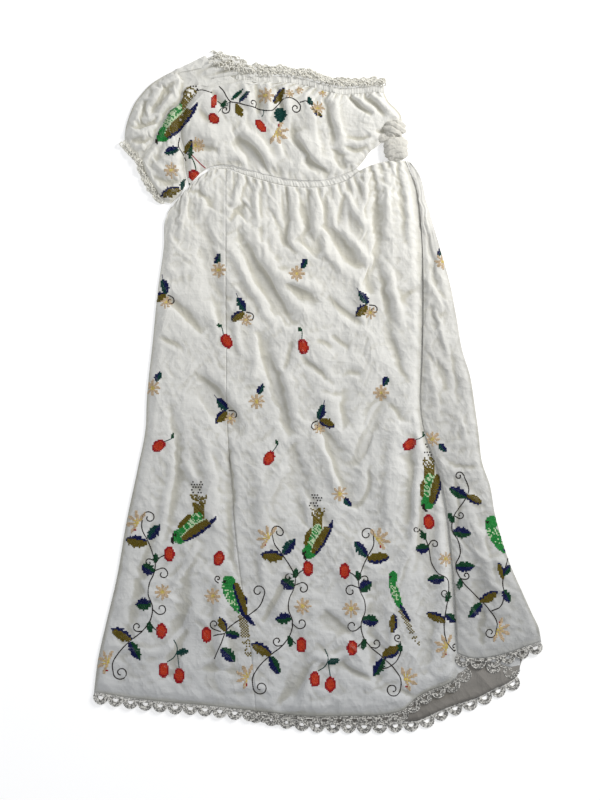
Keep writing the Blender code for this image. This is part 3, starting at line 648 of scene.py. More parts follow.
# How firmly relaxing cloth is drawn to its target heights, how it resists bending and shearing, and the
# rounds that it takes at a quarter, a half and all of its final fineness.
HOLD = 0.03
BENDING = 0.7
SHEARING = 0.3
ROUNDS = (200, 120, 60)
EVENING = 96
SETTLING_SEED = 5


def settled(edges, rows, columns, target, growth, top):
    """The grid of a panel, in millimetres, once the spare cloth that growth gives it has buckled."""
    draw = np.random.RandomState(SETTLING_SEED)
    moved = None
    for coarse, steps in zip((4, 2, 1), ROUNDS):
        count_down = max(len(rows) // coarse, 8)
        count_across = max(len(columns) // coarse, 8)
        down_marks = np.interp(np.linspace(0, 1, count_down), np.linspace(0, 1, len(rows)), rows)
        across_marks = np.interp(np.linspace(0, 1, count_across), np.linspace(0, 1, len(columns)), columns)
        plan = np.concatenate([patch_points(edges, across_marks, down) for down in down_marks])
        across = np.tile(across_marks, count_down)
        down = np.repeat(down_marks, count_across)
        shape = (count_down, count_across)
        aim = np.clip(target(plan, across, down), 0.0, top).reshape(shape)
        flat = np.concatenate([plan, np.zeros((len(plan), 1))], axis=1).reshape(*shape, 3)
        free = np.ones(shape)
        free[0] = free[-1] = 0.0
        free[:, 0] = free[:, -1] = 0.0
        aimed = flat.copy()
        aimed[..., 2] = aim
        spare_x, spare_y = (field.reshape(shape) for field in growth(across, down))
        rests = []
        for ends, spare in (
            ((np.s_[:, :-1], np.s_[:, 1:]), spare_x[:, 1:]),
            ((np.s_[:-1], np.s_[1:]), spare_y[1:]),
            ((np.s_[:-1, :-1], np.s_[1:, 1:]), (spare_x + spare_y)[1:, 1:] / 2),
            ((np.s_[:-1, 1:], np.s_[1:, :-1]), (spare_x + spare_y)[1:, 1:] / 2),
        ):
            laid = np.linalg.norm(flat[ends[1]] - flat[ends[0]], axis=2)
            raised = np.linalg.norm(aimed[ends[1]] - aimed[ends[0]], axis=2)
            rests.append(laid * smoothed(raised / laid, EVENING // coarse**2) * spare)
        points = flat.copy()
        if moved is None:
            points[..., 2] = aim + draw.uniform(-0.6, 0.6, shape) * free
        else:
            points += resampled(moved, *shape)
            points[..., 2] += draw.uniform(-0.15, 0.15, shape) * free
        points[..., 2] = np.where(free > 0, points[..., 2], aim)
        relax(points, aim, *rests, free, steps, top)
        moved = points - flat
    points[..., 2] = smoothed(points[..., 2], 1)
    return points, plan, across, down


def even_growth(x, y):
    """The same spare cloth all over a panel, as how much longer its threads are than its patch."""
    return lambda across, down: (np.full(len(across), x), np.full(len(across), y))


def full_room(plan, across, down):
    """Lets a panel keep all of its height, up to its edges."""
    return np.ones(len(plan))


def no_height(plan, across, down):
    """Keeps a panel flat."""
    return np.zeros(len(plan))


def add_painted_crease_shade(made, values):
    """Stores how deep in a crease each point lies, from 0 in a deep crease to 1 on a ridge, for the painted
    shade that the cotton puts in its creases.
    """
    layer = made.data.attributes.new("painted_crease_shade", "FLOAT", "POINT")
    layer.data.foreach_set("value", values.ravel().astype(np.float32))


def add_cloth(
    name, node, edges, rows, columns, low, target, room, growth, surface,
    top=13.0,
):
    """A panel of cloth in place of a node, as a thin shell: a grid over the patch between its four edges,
    settled round its target heights. rows holds places from 0 to 1 down it, or counts them, and columns
    counts those across."""
    if isinstance(rows, int):
        rows = np.linspace(0, 1, rows)
    columns = np.linspace(0, 1, columns)
    grid, plan, across, down = settled(edges, rows, columns, target, growth, top)
    points = grid.reshape(-1, 3).copy()
    points[:, 2] *= room(plan, across, down)
    rise = points[:, 2].reshape(len(rows), len(columns)).copy()
    points[:, 2] += low + WALL
    index = np.arange(rise.size).reshape(rise.shape)
    faces = np.stack([index[:-1, :-1], index[1:, :-1], index[1:, 1:], index[:-1, 1:]], axis=2).reshape(-1, 4)
    COVERS.add(name, points, faces)
    made = new_object(name, points, faces, surface)
    # Painted shade: how far each point lies below the smoothed cloth round it darkens the cotton in its
    # creases.
    painted_crease_shade = 0.7 * (rise - smoothed(rise, 14)) + 0.3 * (rise - smoothed(rise, 70)) * 0.6
    add_painted_crease_shade(made, np.clip(0.5 + painted_crease_shade * 0.45, 0, 1))
    shell = made.modifiers.new("thickness", "SOLIDIFY")
    shell.thickness = CLOTH * MM
    shell.offset = -1
    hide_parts(node)


class Surface:
    """A material, with short ways to add nodes to it and join them."""

    def __init__(self, name, roughness, specular, sheen):
        self.material = bpy.data.materials.new(name)
        self.material.use_nodes = True
        self.tree = self.material.node_tree
        self.shader = self.tree.nodes["Principled BSDF"]
        self.shader.inputs["Roughness"].default_value = roughness
        self.shader.inputs["Specular IOR Level"].default_value = specular
        self.shader.inputs["Sheen Weight"].default_value = sheen
        self.place = self.node("ShaderNodeTexCoord", {}).outputs["Object"]

    def node(self, kind, inputs, **settings):
        """A new node. inputs gives some of its inputs a value or another node's output."""
        made = self.tree.nodes.new(kind)
        for key, value in settings.items():
            setattr(made, key, value)
        for key, value in inputs.items():
            if isinstance(value, bpy.types.NodeSocket):
                self.tree.links.new(value, made.inputs[key])
            else:
                made.inputs[key].default_value = value
        return made

    def noise(self, scale, detail, stretch=None, kind="FBM", **extra):
        """Noise from 0 to 1, finer along the axes where stretch is above 1."""
        place = self.place
        if stretch:
            place = self.node("ShaderNodeMapping", {"Scale": stretch, "Vector": place}).outputs["Vector"]
        inputs = {"Scale": scale, "Detail": detail, "Vector": place, **extra}
        return self.node("ShaderNodeTexNoise", inputs, noise_type=kind).outputs["Fac"]

    def mixed(self, first, second, share, kind="MIX"):
        """Two colours in one, by the share of the second."""
        inputs = {0: share}
        for key, value in ((6, first), (7, second)):
            inputs[key] = (*value, 1.0) if isinstance(value, tuple) else value
        return self.node("ShaderNodeMix", inputs, data_type="RGBA", blend_type=kind).outputs[2]

    def ramp(self, source, *stops):
        """source as a colour or a grey, from the first stop's to the second's."""
        made = self.node("ShaderNodeValToRGB", {"Fac": source})
        for element, (at, value) in zip(made.color_ramp.elements, stops):
            element.position = at
            element.color = (value, value, value, 1.0) if isinstance(value, float) else (*value, 1.0)
        return made.outputs["Color"]

    def bump(self, height, strength, distance, normal=None):
        inputs = {"Strength": strength, "Distance": distance, "Height": height}
        if normal:
            inputs["Normal"] = normal
        return self.node("ShaderNodeBump", inputs).outputs["Normal"]

    def finished(self, colour, normal):
        self.tree.links.new(colour, self.shader.inputs["Base Color"])
        self.tree.links.new(normal, self.shader.inputs["Normal"])
        return self.material


def cotton_surface(name, cloth_colour, hem_shade_colour):
    """Plain woven cotton: uneven yarns and faint blotches, with painted shade that turns it darker and greyer
    towards the hem and darker and yellower in its creases.
    """
    surface = Surface(name, 0.88, 0.25, 0.12)
    surface.shader.inputs["Sheen Roughness"].default_value = 0.6
    # Painted shade: from its own colour at the top, the cotton turns to the darker, greyer hem shade colour
    # towards the hem, where the light falls off.
    height = surface.node("ShaderNodeSeparateXYZ", {"Vector": surface.place}).outputs["Y"]
    spread = surface.node("ShaderNodeMapRange", {"From Min": 0.25, "From Max": -0.6, "Value": height})
    colour = surface.mixed(cloth_colour, hem_shade_colour, spread.outputs["Result"])
    blotch = surface.ramp(surface.noise(9.0, 3.0, (1.0, 1.0, 1.0)), (0.35, 0.93), (0.7, 1.0))
    slub = surface.ramp(surface.noise(330.0, 2.0, (0.16, 2.2, 1.0)), (0.38, 0.94), (0.62, 1.0))
    yarn = surface.ramp(surface.noise(420.0, 2.0, (2.4, 0.2, 1.0)), (0.35, 0.96), (0.65, 1.0))
    # Painted shade in the creases: the crease attribute turns the cotton darker and yellower where it lies
    # low.
    crease = surface.node("ShaderNodeAttribute", {}, attribute_name="painted_crease_shade").outputs["Fac"]
    crease_shade_colour = surface.ramp(crease, (0.0, (0.66, 0.64, 0.56)), (0.5, (1.0, 1.0, 1.0)))
    for layer, share in ((blotch, 0.8), (slub, 0.7), (yarn, 0.6), (crease_shade_colour, 0.8)):
        colour = surface.mixed(colour, layer, share, "MULTIPLY")
    waving = {"Scale": 420.0, "Distortion": 1.2, "Vector": surface.place}
    across, along = (
        surface.node("ShaderNodeTexWave", waving, bands_direction=axis).outputs["Fac"] for axis in ("X", "Y")
    )
    normal = surface.bump(surface.mixed(across, along, 0.5), 0.25, 0.0003)
    crumple = surface.noise(13.0, 4.0, (1.0, 0.8, 1.0), "RIDGED_MULTIFRACTAL", Offset=1.0, Gain=2.0)
    normal = surface.bump(crumple, 0.8, 0.0042, normal)
    return surface.finished(colour, surface.bump(slub, 0.5, 0.0005, normal))


def thread_surface(name, colour):
    """Stranded cotton thread: a little sheen, and light and dark stretches."""
    surface = Surface("thread_" + name, 0.75, 0.12, 0.02)
    uneven = surface.noise(380.0, 2.0)
    shade = [channel * 0.72 for channel in colour]
    light = [min(channel * 1.2 + 0.004, 1.0) for channel in colour]
    return surface.finished(
        surface.ramp(uneven, (0.3, shade), (0.7, light)), surface.bump(uneven, 0.4, 0.0003)
    )


def crochet_surface(name, colour, dark):
    """Matt crochet yarn, with fine dark patches from noise as painted shade in its hollows."""
    surface = Surface(name, 0.9, 0.2, 0.15)
    fibres = surface.noise(300.0, 3.0)
    shade = [channel * dark for channel in colour]
    return surface.finished(
        surface.ramp(fibres, (0.42, shade), (0.60, colour)), surface.bump(fibres, 0.6, 0.0005)
    )


def wrinkles(plan, seed, amount=1.0):
    """Small unevenness all over the cloth: soft hills, then crumples that run across and down it."""
    x = plan[:, 0]
    y = plan[:, 1]
    heights = 1.5 * layered_noise(x / 95, y / 170, seed, 2)
    heights += 0.4 * soft_noise(x / 34, y / 60, seed + 10)
    for rise, later, degrees, long, short, thin in (
        (0.9, 20, -55, 75, 30, 3.0),
        (0.8, 40, 5, 70, 24, 2.6),
        (1.0, 60, 48, 120, 40, 7.0),
        (-0.9, 70, -68, 110, 36, 6.5),
        (0.8, 80, -12, 90, 34, 6.5),
    ):
        heights += rise * sharp_creases(plan, seed + later, degrees, long, short, thin)
    return amount * heights


def crumples(plan, seed, amount):
    """Short sharp creases at all angles, as on cloth that was bunched up."""
    heights = np.zeros(len(plan))
    for number, degrees in enumerate((-70, -32, 8, 41, 78)):
        sign = 1 if number % 2 else -1
        heights += sign * sharp_creases(plan, seed + number, degrees, 34, 13, 3.0)
    return amount * heights


def skirt_heights(marks, seed, fine_count):
    """What draws the heights of a skirt panel, by the marks of its gathers."""
    fine_marks = gather_marks(fine_count, seed + 5)

    def heights(plan, across, down):
        """Low at the silhouette, the hem and the pleat, with gathers that run down from the waist."""
        sway = across + 0.006 * soft_noise(down * 9, across * 8, seed + 2) * np.minimum(down / 0.05, 1)
        sway = np.clip(sway, 0, 1)
        gathers = gather_heights(sway, marks, seed, power=1.3)
        lengths = 0.035 + 0.11 * gather_heights(across, marks, seed + 1, 0.0)
        falling = fading(down, lengths, 1.6)
        fine = gather_heights(sway, fine_marks, seed + 3, 0.2, 1.1)
        fine_lengths = 0.02 + 0.05 * gather_heights(across, fine_marks, seed + 4, 0.0)
        fine_falling = fading(down, fine_lengths, 1.5)
        from_seam = np.abs(beside(plan, SKIRT_SEAM))
        clear = eased(from_seam / 12)
        body = 6.2 + 1.55 * crease_heights(plan, SKIRT_CREASES) + wrinkles(plan, 700, 1.2)
        lowered = np.where(body > 3, body, 3 * np.exp(np.minimum(body, 3) / 3 - 1))
        waist = 1.7 * gathers * falling + 1.6 * fine * fine_falling
        hem_index, from_hem, _ = near_line(plan, HEM_LEFT[:-1] + HEM_FRONT, 24)
        lowered[hem_index] -= 1.1 * fading(np.abs(from_hem) - 13.5, 1.8, 2)
        return (1 - 0.5 * falling) * lowered + clear * waist - 0.35 * fading(from_seam, 2.0, 2)

    return heights


def skirt_growth(across, down):
    """Spare cloth: much in the gathers under the waist, a little everywhere."""
    return 1.012 + 0.05 * fading(down, 0.07, 1.5), np.full(len(down), 1.012)


def make_skirt(cotton, side_cotton_painted_shade):
    """The skirt's front, the back where it turns round the left edge, the folded side, the pleat's middle."""
    seam = SKIRT_SEAM
    rows = np.concatenate([np.linspace(0, 0.16, 64)[:-1], np.linspace(0.16, 1.0, 226)])

    def turned_room(plan, across, down):
        return edge_room(plan, SKIRT_LEFT, 18) ** 0.7 * eased((1 - down) / 0.02)

    def front_room(plan, across, down):
        return (0.2 + 0.8 * eased((beside(plan, PLEAT_FOLD) - 2) / 16)) * eased((1 - down) / 0.02)

    add_cloth(
        "skirt_back_turned_cloth", "skirt_back_turn",
        (SKIRT_TOP_LEFT[:-1] + seam[:1], HEM_LEFT[:-1] + seam[-1:], SKIRT_LEFT, seam),
        rows, 62, FRONT_LOW, skirt_heights(gather_marks(7, 11), 21, 16), turned_room, skirt_growth,
        cotton,
    )
    add_cloth(
        "skirt_front_cloth", "skirt_front", (SKIRT_TOP_RIGHT, HEM_FRONT, seam, SKIRT_TUCK),
        rows, 152, FRONT_LOW, skirt_heights(gather_marks(20, 12), 31, 52), front_room, skirt_growth,
        cotton,
    )
    side_marks = gather_marks(3, 41)

    def side_heights(plan, across, down):
        body = 3.9 + 1.5 * crease_heights(plan, SIDE_CREASES) + wrinkles(plan, 720, 1.4)
        body = np.maximum(body, 0.4 * np.exp(body / 3 - 1))
        return body + 3.0 * gather_heights(across, side_marks, 42) * fading(down, 0.2, 2)

    def side_room(plan, across, down):
        room = edge_room(plan, SKIRT_RIGHT, 14) ** 0.7 * (0.45 + 0.55 * edge_room(plan, PLEAT_FOLD, 10))
        return room * eased((1 - down) / 0.03)

    add_cloth(
        "skirt_side_cloth", "skirt_side",
        ([PLEAT_FOLD[0], (164, 417), SKIRT_RIGHT[0]], HEM_SIDE, PLEAT_FOLD, SKIRT_RIGHT),
        250, 46, SIDE_LOW, side_heights, side_room, even_growth(1.014, 1.012),
        side_cotton_painted_shade,
    )
    add_cloth(
        "pleat_underlay_cloth", "pleat_underlay",
        (UNDERLAY_TOP, UNDERLAY_HEM, UNDERLAY_LEFT, UNDERLAY_RIGHT),
        24, 16, FRONT_LOW, no_height, no_height, even_growth(1.0, 1.0), cotton,
    )


def make_bodice(cotton):
    neck_marks = gather_marks(22, 51)
    waist_marks = gather_marks(14, 52)
    fine_marks = gather_marks(46, 58)

    def bodice_heights(plan, across, down):
        """Tubes of cloth fall from the gathered neck and puff out over the waist."""
        body = 6.2 + 1.7 * crease_heights(plan, BODICE_CREASES, 2.0, 420) + wrinkles(plan, 740, 1.0)
        body = np.maximum(body, 0.4 * np.exp(body / 4 - 1))
        from_neck = 2.4 * gather_heights(across, neck_marks, 53, power=1.3) * fading(down, 0.16, 2)
        from_neck += 1.8 * gather_heights(across, fine_marks, 59, 0.2, 1.1) * fading(down, 0.12, 1.5)
        from_waist = 0.9 * gather_heights(across, waist_marks, 54) * fading(1 - down, 0.08, 2)
        ends = (0.3 + 0.7 * eased(down / 0.15)) * (0.25 + 0.75 * eased((1 - down) / 0.16))
        return ends * body + from_neck + from_waist

    def bodice_growth(across, down):
        gathered = 0.7 * fading(down, 0.16, 1.5) + 0.2 * fading(1 - down, 0.10, 1.5)
        return 1.015 + 0.08 * gathered, np.full(len(down), 1.015)

    def bodice_room(plan, across, down):
        return edge_room(plan, BODICE_LEFT, 14) * edge_room(plan, BODICE_RIGHT, 10)

    add_cloth(
        "bodice_front_cloth", "bodice_front", (BODICE_TOP, BODICE_BOTTOM, BODICE_LEFT, BODICE_RIGHT),
        84, 190, FRONT_LOW, bodice_heights, bodice_room, bodice_growth, cotton,
    )


def make_casings(cotton):
    """The gathered strips that hold the elastic at the neck and at the waist."""
    neck = (NECK_EDGE, shifted(BODICE_TOP, (0, SEAM)))
    waist = (shifted(WAIST_TOP, (0, -2 * SEAM)), shifted(WAIST_BOTTOM, (0, 2 * SEAM)))
    for name, node, (upper, lower), count, seed, cut in (
        ("neck_band_cloth", "neck_casing", neck, 22, 51, (0.33, 0.013)),
        ("waist_band_cloth", "waist_casing", waist, 18, 61, (0.31, 0.010)),
    ):
        marks = gather_marks(count, seed)
        fine_marks = gather_marks(count * 3 - 2, seed + 9)

        def band_heights(plan, across, down, marks=marks, fine_marks=fine_marks, seed=seed):
            ends = eased(across / 0.03) * eased((1 - across) / 0.03)
            sway = np.clip(across + 0.004 * soft_noise(down * 2.2 + 3, across * 60, seed), 0, 1)
            tall = 0.10 + 0.45 * gather_heights(sway, marks, seed + 2, 0.2, 1.0)
            tall += 0.75 * gather_heights(sway, fine_marks, seed + 4, 0.15, 0.8)
            return 1.5 * ends * tall * np.sin(math.pi * np.clip(down, 0.06, 0.94)) ** 0.4

        add_cloth(
            name, node, (upper, lower, (upper[0], lower[0]), (upper[-1], lower[-1])),
            9, 320, FRONT_LOW, band_heights, full_room, even_growth(1.0, 1.0), cotton,
        )


def make_sleeve(cotton):
    """The puff sleeve's front and the flap of it that is folded over."""
    armhole = shifted(BODICE_LEFT[:-1], (-0.9, 0.6)) + SLEEVE_TAIL

    def sleeve_heights(plan, across, down):
        body = 7.0 + 1.4 * crease_heights(plan, SLEEVE_CREASES, 2.0, 440) + wrinkles(plan, 760)
        return body + crumples(plan, 765, 1.3)

    def sleeve_room(plan, across, down):
        return edge_room(plan, armhole, 14) * edge_room(plan, SLEEVE_LEFT, 10) * eased((1 - down) / 0.06)

    add_cloth(
        "sleeve_front_cloth", "sleeve_front",
        (SLEEVE_LEFT[:1] + armhole[:1], SLEEVE_LEFT[-1:] + armhole[-1:], SLEEVE_LEFT, armhole),
        120, 52, FRONT_LOW, sleeve_heights, sleeve_room, even_growth(1.02, 1.02),
        cotton,
    )

    def flap_heights(plan, across, down):
        body = 7.5 + 1.5 * crease_heights(plan, FLAP_CREASES, 2.0, 460) + wrinkles(plan, 780)
        return body + crumples(plan, 785, 2.0)

    def flap_room(plan, across, down):
        edges = edge_room(plan, FLAP_OUTER, 16) ** 0.7 * (0.25 + 0.75 * edge_room(plan, FLAP_INNER, 8))
        return edges * eased((1 - down) / 0.12) * (0.25 + 0.75 * eased(down / 0.3))

    add_cloth(
        "sleeve_fold_cloth", "sleeve_fold",
        ([FLAP_OUTER[0], (-195, 598), FLAP_INNER[0]], FLAP_BOTTOM, FLAP_OUTER, FLAP_INNER),
        120, 34, FRONT_LOW, flap_heights, flap_room, even_growth(1.03, 1.03),
        cotton,
    )


def make_backs(cotton, behind):
    """The panels underneath: flat where the front covers them, wrinkled where they show."""

    def under_front(plan, across, down):
        """Creases rise only where the front hem leaves the back showing."""
        front = HEM_LEFT[:-1] + HEM_FRONT
        edge = np.interp(plan[:, 0], [x for x, _ in front], [y for _, y in front])
        beyond = np.interp(plan[:, 0], [x for x, _ in HEM_SIDE], [y for _, y in HEM_SIDE])
        edge = np.where(plan[:, 0] > HEM_SIDE[0][0], beyond, edge)
        showing = eased((edge - plan[:, 1] - 20) / 16) * (plan[:, 1] < -440)
        return 0.35 + 0.25 * wrinkles(plan, 800, 0.5) + showing * (1.6 + wrinkles(plan, 810, 1.2))

    def at_neck(plan, across, down):
        """Folds of the sleeve head run up to the neck behind the bodice."""
        covered = 0.4 + 0.1 * wrinkles(plan, 820, 0.5)
        slant = (plan[:, 1] - 573) - 0.30 * (plan[:, 0] + 150)
        waves = np.sin(0.42 * slant + soft_noise(plan[:, 0] / 30, slant / 20, 9))
        folds = 4.0 + 2.6 * waves + wrinkles(plan, 830)
        showing = eased((plan[:, 1] - 566) / 8) * eased((plan[:, 0] + 215) / 25)
        return covered * (1 - showing) + np.maximum(folds, 0.3) * showing

    still = even_growth(1.0, 1.0)
    top = shifted(SKIRT_TOP_LEFT[:-1] + SKIRT_TOP_RIGHT, (0, -BACK_INSET))
    left = list(map(tuple, sideways(SKIRT_LEFT[:-1] + [HEM_BACK[0]], BACK_INSET, 14)))
    right = list(map(tuple, sideways(SKIRT_RIGHT[:-2] + [(380, -440), HEM_BACK[-1]], -BACK_INSET, 14)))
    # Painted shade: the skirt's back panel gets the darker cotton passed in as behind.
    add_cloth(
        "skirt_back_cloth", "skirt_back",
        (top, HEM_BACK, top[:1] + left[1:-1] + HEM_BACK[:1], top[-1:] + right[1:-1] + HEM_BACK[-1:]),
        120, 90, BACK_LOW, under_front, full_room, still, behind, 4.5,
    )
    top = shifted(NECK_EDGE, (0, -2))
    bottom = shifted(BODICE_BOTTOM, (1, 2))
    left = top[:1] + shifted(BODICE_LEFT, (4, 0))[1:-1] + bottom[:1]
    right = top[-1:] + shifted(BODICE_RIGHT, (-4, -1))[1:-1] + bottom[-1:]
    add_cloth(
        "bodice_back_cloth", "bodice_back", (top, bottom, left, right),
        40, 60, BACK_LOW, under_front, full_room, still, cotton, top=1.0,
    )
    bottom = SLEEVE_BACK_LEFT[-1:] + SLEEVE_BACK_RIGHT[-1:]
    add_cloth(
        "sleeve_back_cloth", "sleeve_back",
        (SLEEVE_BACK_TOP, bottom, SLEEVE_BACK_LEFT, SLEEVE_BACK_RIGHT),
        100, 50, BACK_LOW, at_neck, full_room, still, cotton, 9.0,
    )


def add_knot(name, node, centre, radii, height, power, turn, wraps, depth, surface, seed):
    """A flat-bottomed lump of wound cloth with slanting creases between its wraps."""
    across, around = np.meshgrid(
        np.linspace(0, math.pi, 49), np.linspace(0, 2 * math.pi, 97)[:-1], indexing="ij"
    )
    x, y, z = np.sin(across) * np.cos(around), np.sin(across) * np.sin(around), np.cos(across)
    flat = np.hypot(x, y)
    squared = (np.abs(x) ** (2 / power) + np.abs(y) ** (2 / power)) ** (power / 2)
    grow = np.where(flat > 1e-6, flat / np.maximum(squared, 1e-6), 1.0)
    slant = math.radians(turn)
    lengthways = y * math.cos(slant) - x * math.sin(slant) + 0.10 * x * x
    sideways_place = x * math.cos(slant) + y * math.sin(slant)
    wander = 0.14 * layered_noise(sideways_place * 1.6 + seed, lengthways * 2.4, seed, 2)
    groove = np.abs(np.sin(math.pi * wraps * (lengthways + wander) / 2)) ** 0.55
    dent = 1 - depth * (1 - groove) - 0.05 * (1 - layered_noise(x * 3.1 + seed, y * 3.1, seed + 3, 3))
    middle = height * 0.42
    points = np.stack(
        [
            centre[0] + x * grow * radii[0] * dent,
            centre[1] + y * grow * radii[1] * dent,
            np.maximum(middle + np.where(z > 0, z * (height - middle) * dent, z * middle * 1.6), 0.0),
        ],
        axis=2,
    ).reshape(-1, 3)
    rings, segments = across.shape
    index = np.arange(rings * segments).reshape(rings, segments)
    beyond = np.roll(index, -1, axis=1)
    faces = np.stack([index[:-1], index[1:], beyond[1:], beyond[:-1]], axis=2).reshape(-1, 4)
    made = new_object(name, points, faces, surface)
    # Painted shade: the crease attribute darkens the knot in its grooves and more on its lower side.
    add_painted_crease_shade(made, np.clip(0.12 + 0.5 * groove + 0.2 * np.clip(z, 0, 1), 0, 0.6))
    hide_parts(node)


def make_tie(tie):
    """The side tie: its ends wound round as a band, the knot above, and a fold tucked in beside it."""
    add_knot("tie_wound_band", "tie_wrap", (140.6, 439.4), (23.8, 23.6), 17.0, 0.62, 18, 4.4, 0.13, tie, 3)
    add_knot("tie_knotted_end", "tie_knot", (139.0, 475.2), (23.0, 17.4), 16.0, 1.0, -35, 3.0, 0.22, tie, 8)
    add_knot("tie_tucked_fold", "tie_knot", (120.0, 459.5), (19.0, 9.5), 9.5, 0.8, 38, 2.2, 0.2, tie, 5)


# Colours of the stitching thread.
THREADS = {
    "red": (0.33, 0.008, 0.014),
    "orange": (0.52, 0.046, 0.016),
    "bird_green": (0.018, 0.24, 0.045),
    "pale_green": (0.55, 0.70, 0.45),
    "leaf_green": (0.004, 0.055, 0.020),
    "teal": (0.004, 0.050, 0.042),
    "olive": (0.125, 0.092, 0.008),
    "gold": (0.20, 0.155, 0.035),
    "navy": (0.004, 0.008, 0.070),
    "beige": (0.58, 0.44, 0.29),
    "yellow": (0.66, 0.52, 0.15),
    "brown": (0.018, 0.012, 0.010),
}

# The grid of the crosses and the width of their arms, the width and length of a stem's stitches, and how far
# the thread stands off the cloth.
CROSS = 2.4
CROSS_BAR = 1.65
STEM_WIDTH = 2.3
STEM_STITCH = 3.4
THREAD_LIFT = 0.45
LEAF_TEETH = 4
CURL_END = 0.25


class Stitching:
    """Cross stitches on a square grid and back stitches along lines, sewn on at the end all together."""

    def __init__(self):
        self.crosses = {}
        self.lines = []

    def fill(self, shape, middle, panels, turn=0.0, flip=1, squeeze=1.0, *, reach):
        """Crosses wherever shape names a thread. It sees places in the motif's own frame, in millimetres."""
        steps = np.arange(-int(reach / CROSS) - 1, int(reach / CROSS) + 2)
        column, row = np.meshgrid(round(middle[0] / CROSS) + steps, round(middle[1] / CROSS) + steps)
        x = column.ravel() * CROSS - middle[0]
        y = row.ravel() * CROSS - middle[1]
        angle = math.radians(turn)
        across = flip * (x * math.cos(angle) + y * math.sin(angle)) / squeeze
        up = y * math.cos(angle) - x * math.sin(angle)
        for place in zip(column.ravel(), row.ravel(), across, up):
            thread = shape(place[2], place[3], place[0], place[1])
            if thread:
                self.crosses[(int(place[0]), int(place[1]))] = (thread, panels)

    def line(self, points, panels, thread, width):
        """Back stitches along a smooth line."""
        points = np.asarray(points, float)
        length = np.linalg.norm(np.diff(points, axis=0), axis=1).sum()
        count = max(int(length / STEM_STITCH), 1)
        path = smooth_line(points, np.linspace(0, 1, count + 1)) if len(points) > 2 else points
        for start, end in zip(path[:-1], path[1:]):
            gap = (end - start) * 0.04
            self.lines.append((start + gap, end - gap, width, thread, panels))

    def sew(self, surfaces):
        bars = {thread: [] for thread in THREADS}
        half = CROSS * 0.46
        for (column, row), (thread, panels) in self.crosses.items():
            x, y = column * CROSS, row * CROSS
            bars[thread].append(((x - half, y - half), (x + half, y + half), CROSS_BAR, 0.0, panels))
            bars[thread].append(((x - half, y + half), (x + half, y - half), CROSS_BAR, 0.18, panels))
        for start, end, width, thread, panels in self.lines:
            bars[thread].append((tuple(start), tuple(end), width, 0.05, panels))
        for thread, rows in bars.items():
            points, faces = self.bar_mesh(rows)
            made = new_object("stitches_" + thread, points, faces, surfaces[thread])

    @staticmethod
    def bar_mesh(rows):
        """A low ridge for each stitch whose panel shows there."""
        starts = COVERS.under([row[0] for row in rows])
        ends = COVERS.under([row[1] for row in rows])
        points = []
        faces = []
        for row, (panel, low), (other, high) in zip(rows, starts, ends):
            start, end, width, lift, panels = row
            if panel not in panels or other not in panels:
                continue
            run = np.subtract(end, start)
            side = np.array((-run[1], run[0])) / max(np.linalg.norm(run), 1e-6) * width / 2
            first = len(points)
            for (x, y), z in ((start, low), (end, high)):
                points.append((x - side[0], y - side[1], z + 0.02))
                points.append((x + side[0], y + side[1], z + 0.02))
                points.append((x, y, z + THREAD_LIFT + lift))
            for corners in ((0, 2, 5, 3), (1, 4, 5, 2), (0, 1, 2), (3, 5, 4)):
                faces.append(tuple(first + corner for corner in corners))
        return points, faces


SEWN = Stitching()
SKIRT = ("skirt_front_cloth", "skirt_back_turned_cloth")
SIDE = ("skirt_side_cloth",)
BODICE = ("bodice_front_cloth",)
SLEEVE = ("sleeve_front_cloth",)


def cherry_shape(wide, tall):
    def shape(x, y, column, row):
        size = math.hypot(x / wide, y / tall)
        if size > 1.0:
            return None
        return "red" if size > 0.72 else "orange"

    return shape


def eight_petals(radius):
    def shape(x, y, column, row):
        away = math.hypot(x, y)
        petal = abs(math.cos(4 * math.atan2(y, x)))
        if away > radius * (0.30 + 0.78 * petal**1.3):
            return None
        return "yellow" if away < radius * 0.24 else "beige"

    return shape


def fan_flower(x, y, column, row):
    """Five petals that spread to the left from a yellow heart."""
    away = math.hypot(x, y)
    turn = math.atan2(y, -x)
    if away < 2.6:
        return "yellow"
    if math.hypot(x - 3, y + 14) < 1.8:
        return "red"
    petal = abs(math.cos(4.0 * turn))
    if abs(turn) > 1.95 or away > 21 * petal**1.3 + 1.5:
        return None
    return "yellow" if away < 9 and petal > 0.85 else "beige"


def leaf_shape(length, width, upper, lower):
    """A leaf along +X from its stalk, with saw teeth and two colours."""

    def shape(x, y, column, row):
        along = x / length
        if not 0 <= along <= 1:
            return None
        tooth = 1 - 0.30 * ((along * LEAF_TEETH) % 1.0)
        half = width / 2 * math.sin(math.pi * min(along * 0.94 + 0.06, 1.0)) ** 0.7 * tooth
        if abs(y) > half:
            return None
        if lower == "navy_edge":
            return "navy" if y < -0.42 * half or along > 0.9 else upper
        if upper == "navy_top":
            return "navy" if y > 0.42 * half or along > 0.9 else lower
        return upper if y > 0 else lower

    return shape


def inside_leaf(x, y, start, end, half):
    """How far a place is across a spindle between two points, from -1 to 1, or None outside it."""
    run_x, run_y = end[0] - start[0], end[1] - start[1]
    length = math.hypot(run_x, run_y)
    along = ((x - start[0]) * run_x + (y - start[1]) * run_y) / length**2
    if not 0 <= along <= 1:
        return None
    across = ((x - start[0]) * run_y - (y - start[1]) * run_x) / length
    share = across / (half * math.sin(math.pi * (0.12 + 0.88 * along)) ** 0.6)
    return share if abs(share) <= 1 else None


def dotted(column, row):
    """Scattered single crosses, in staggered rows."""
    return row % 2 == 0 and (column + row // 2) % 2 == 0


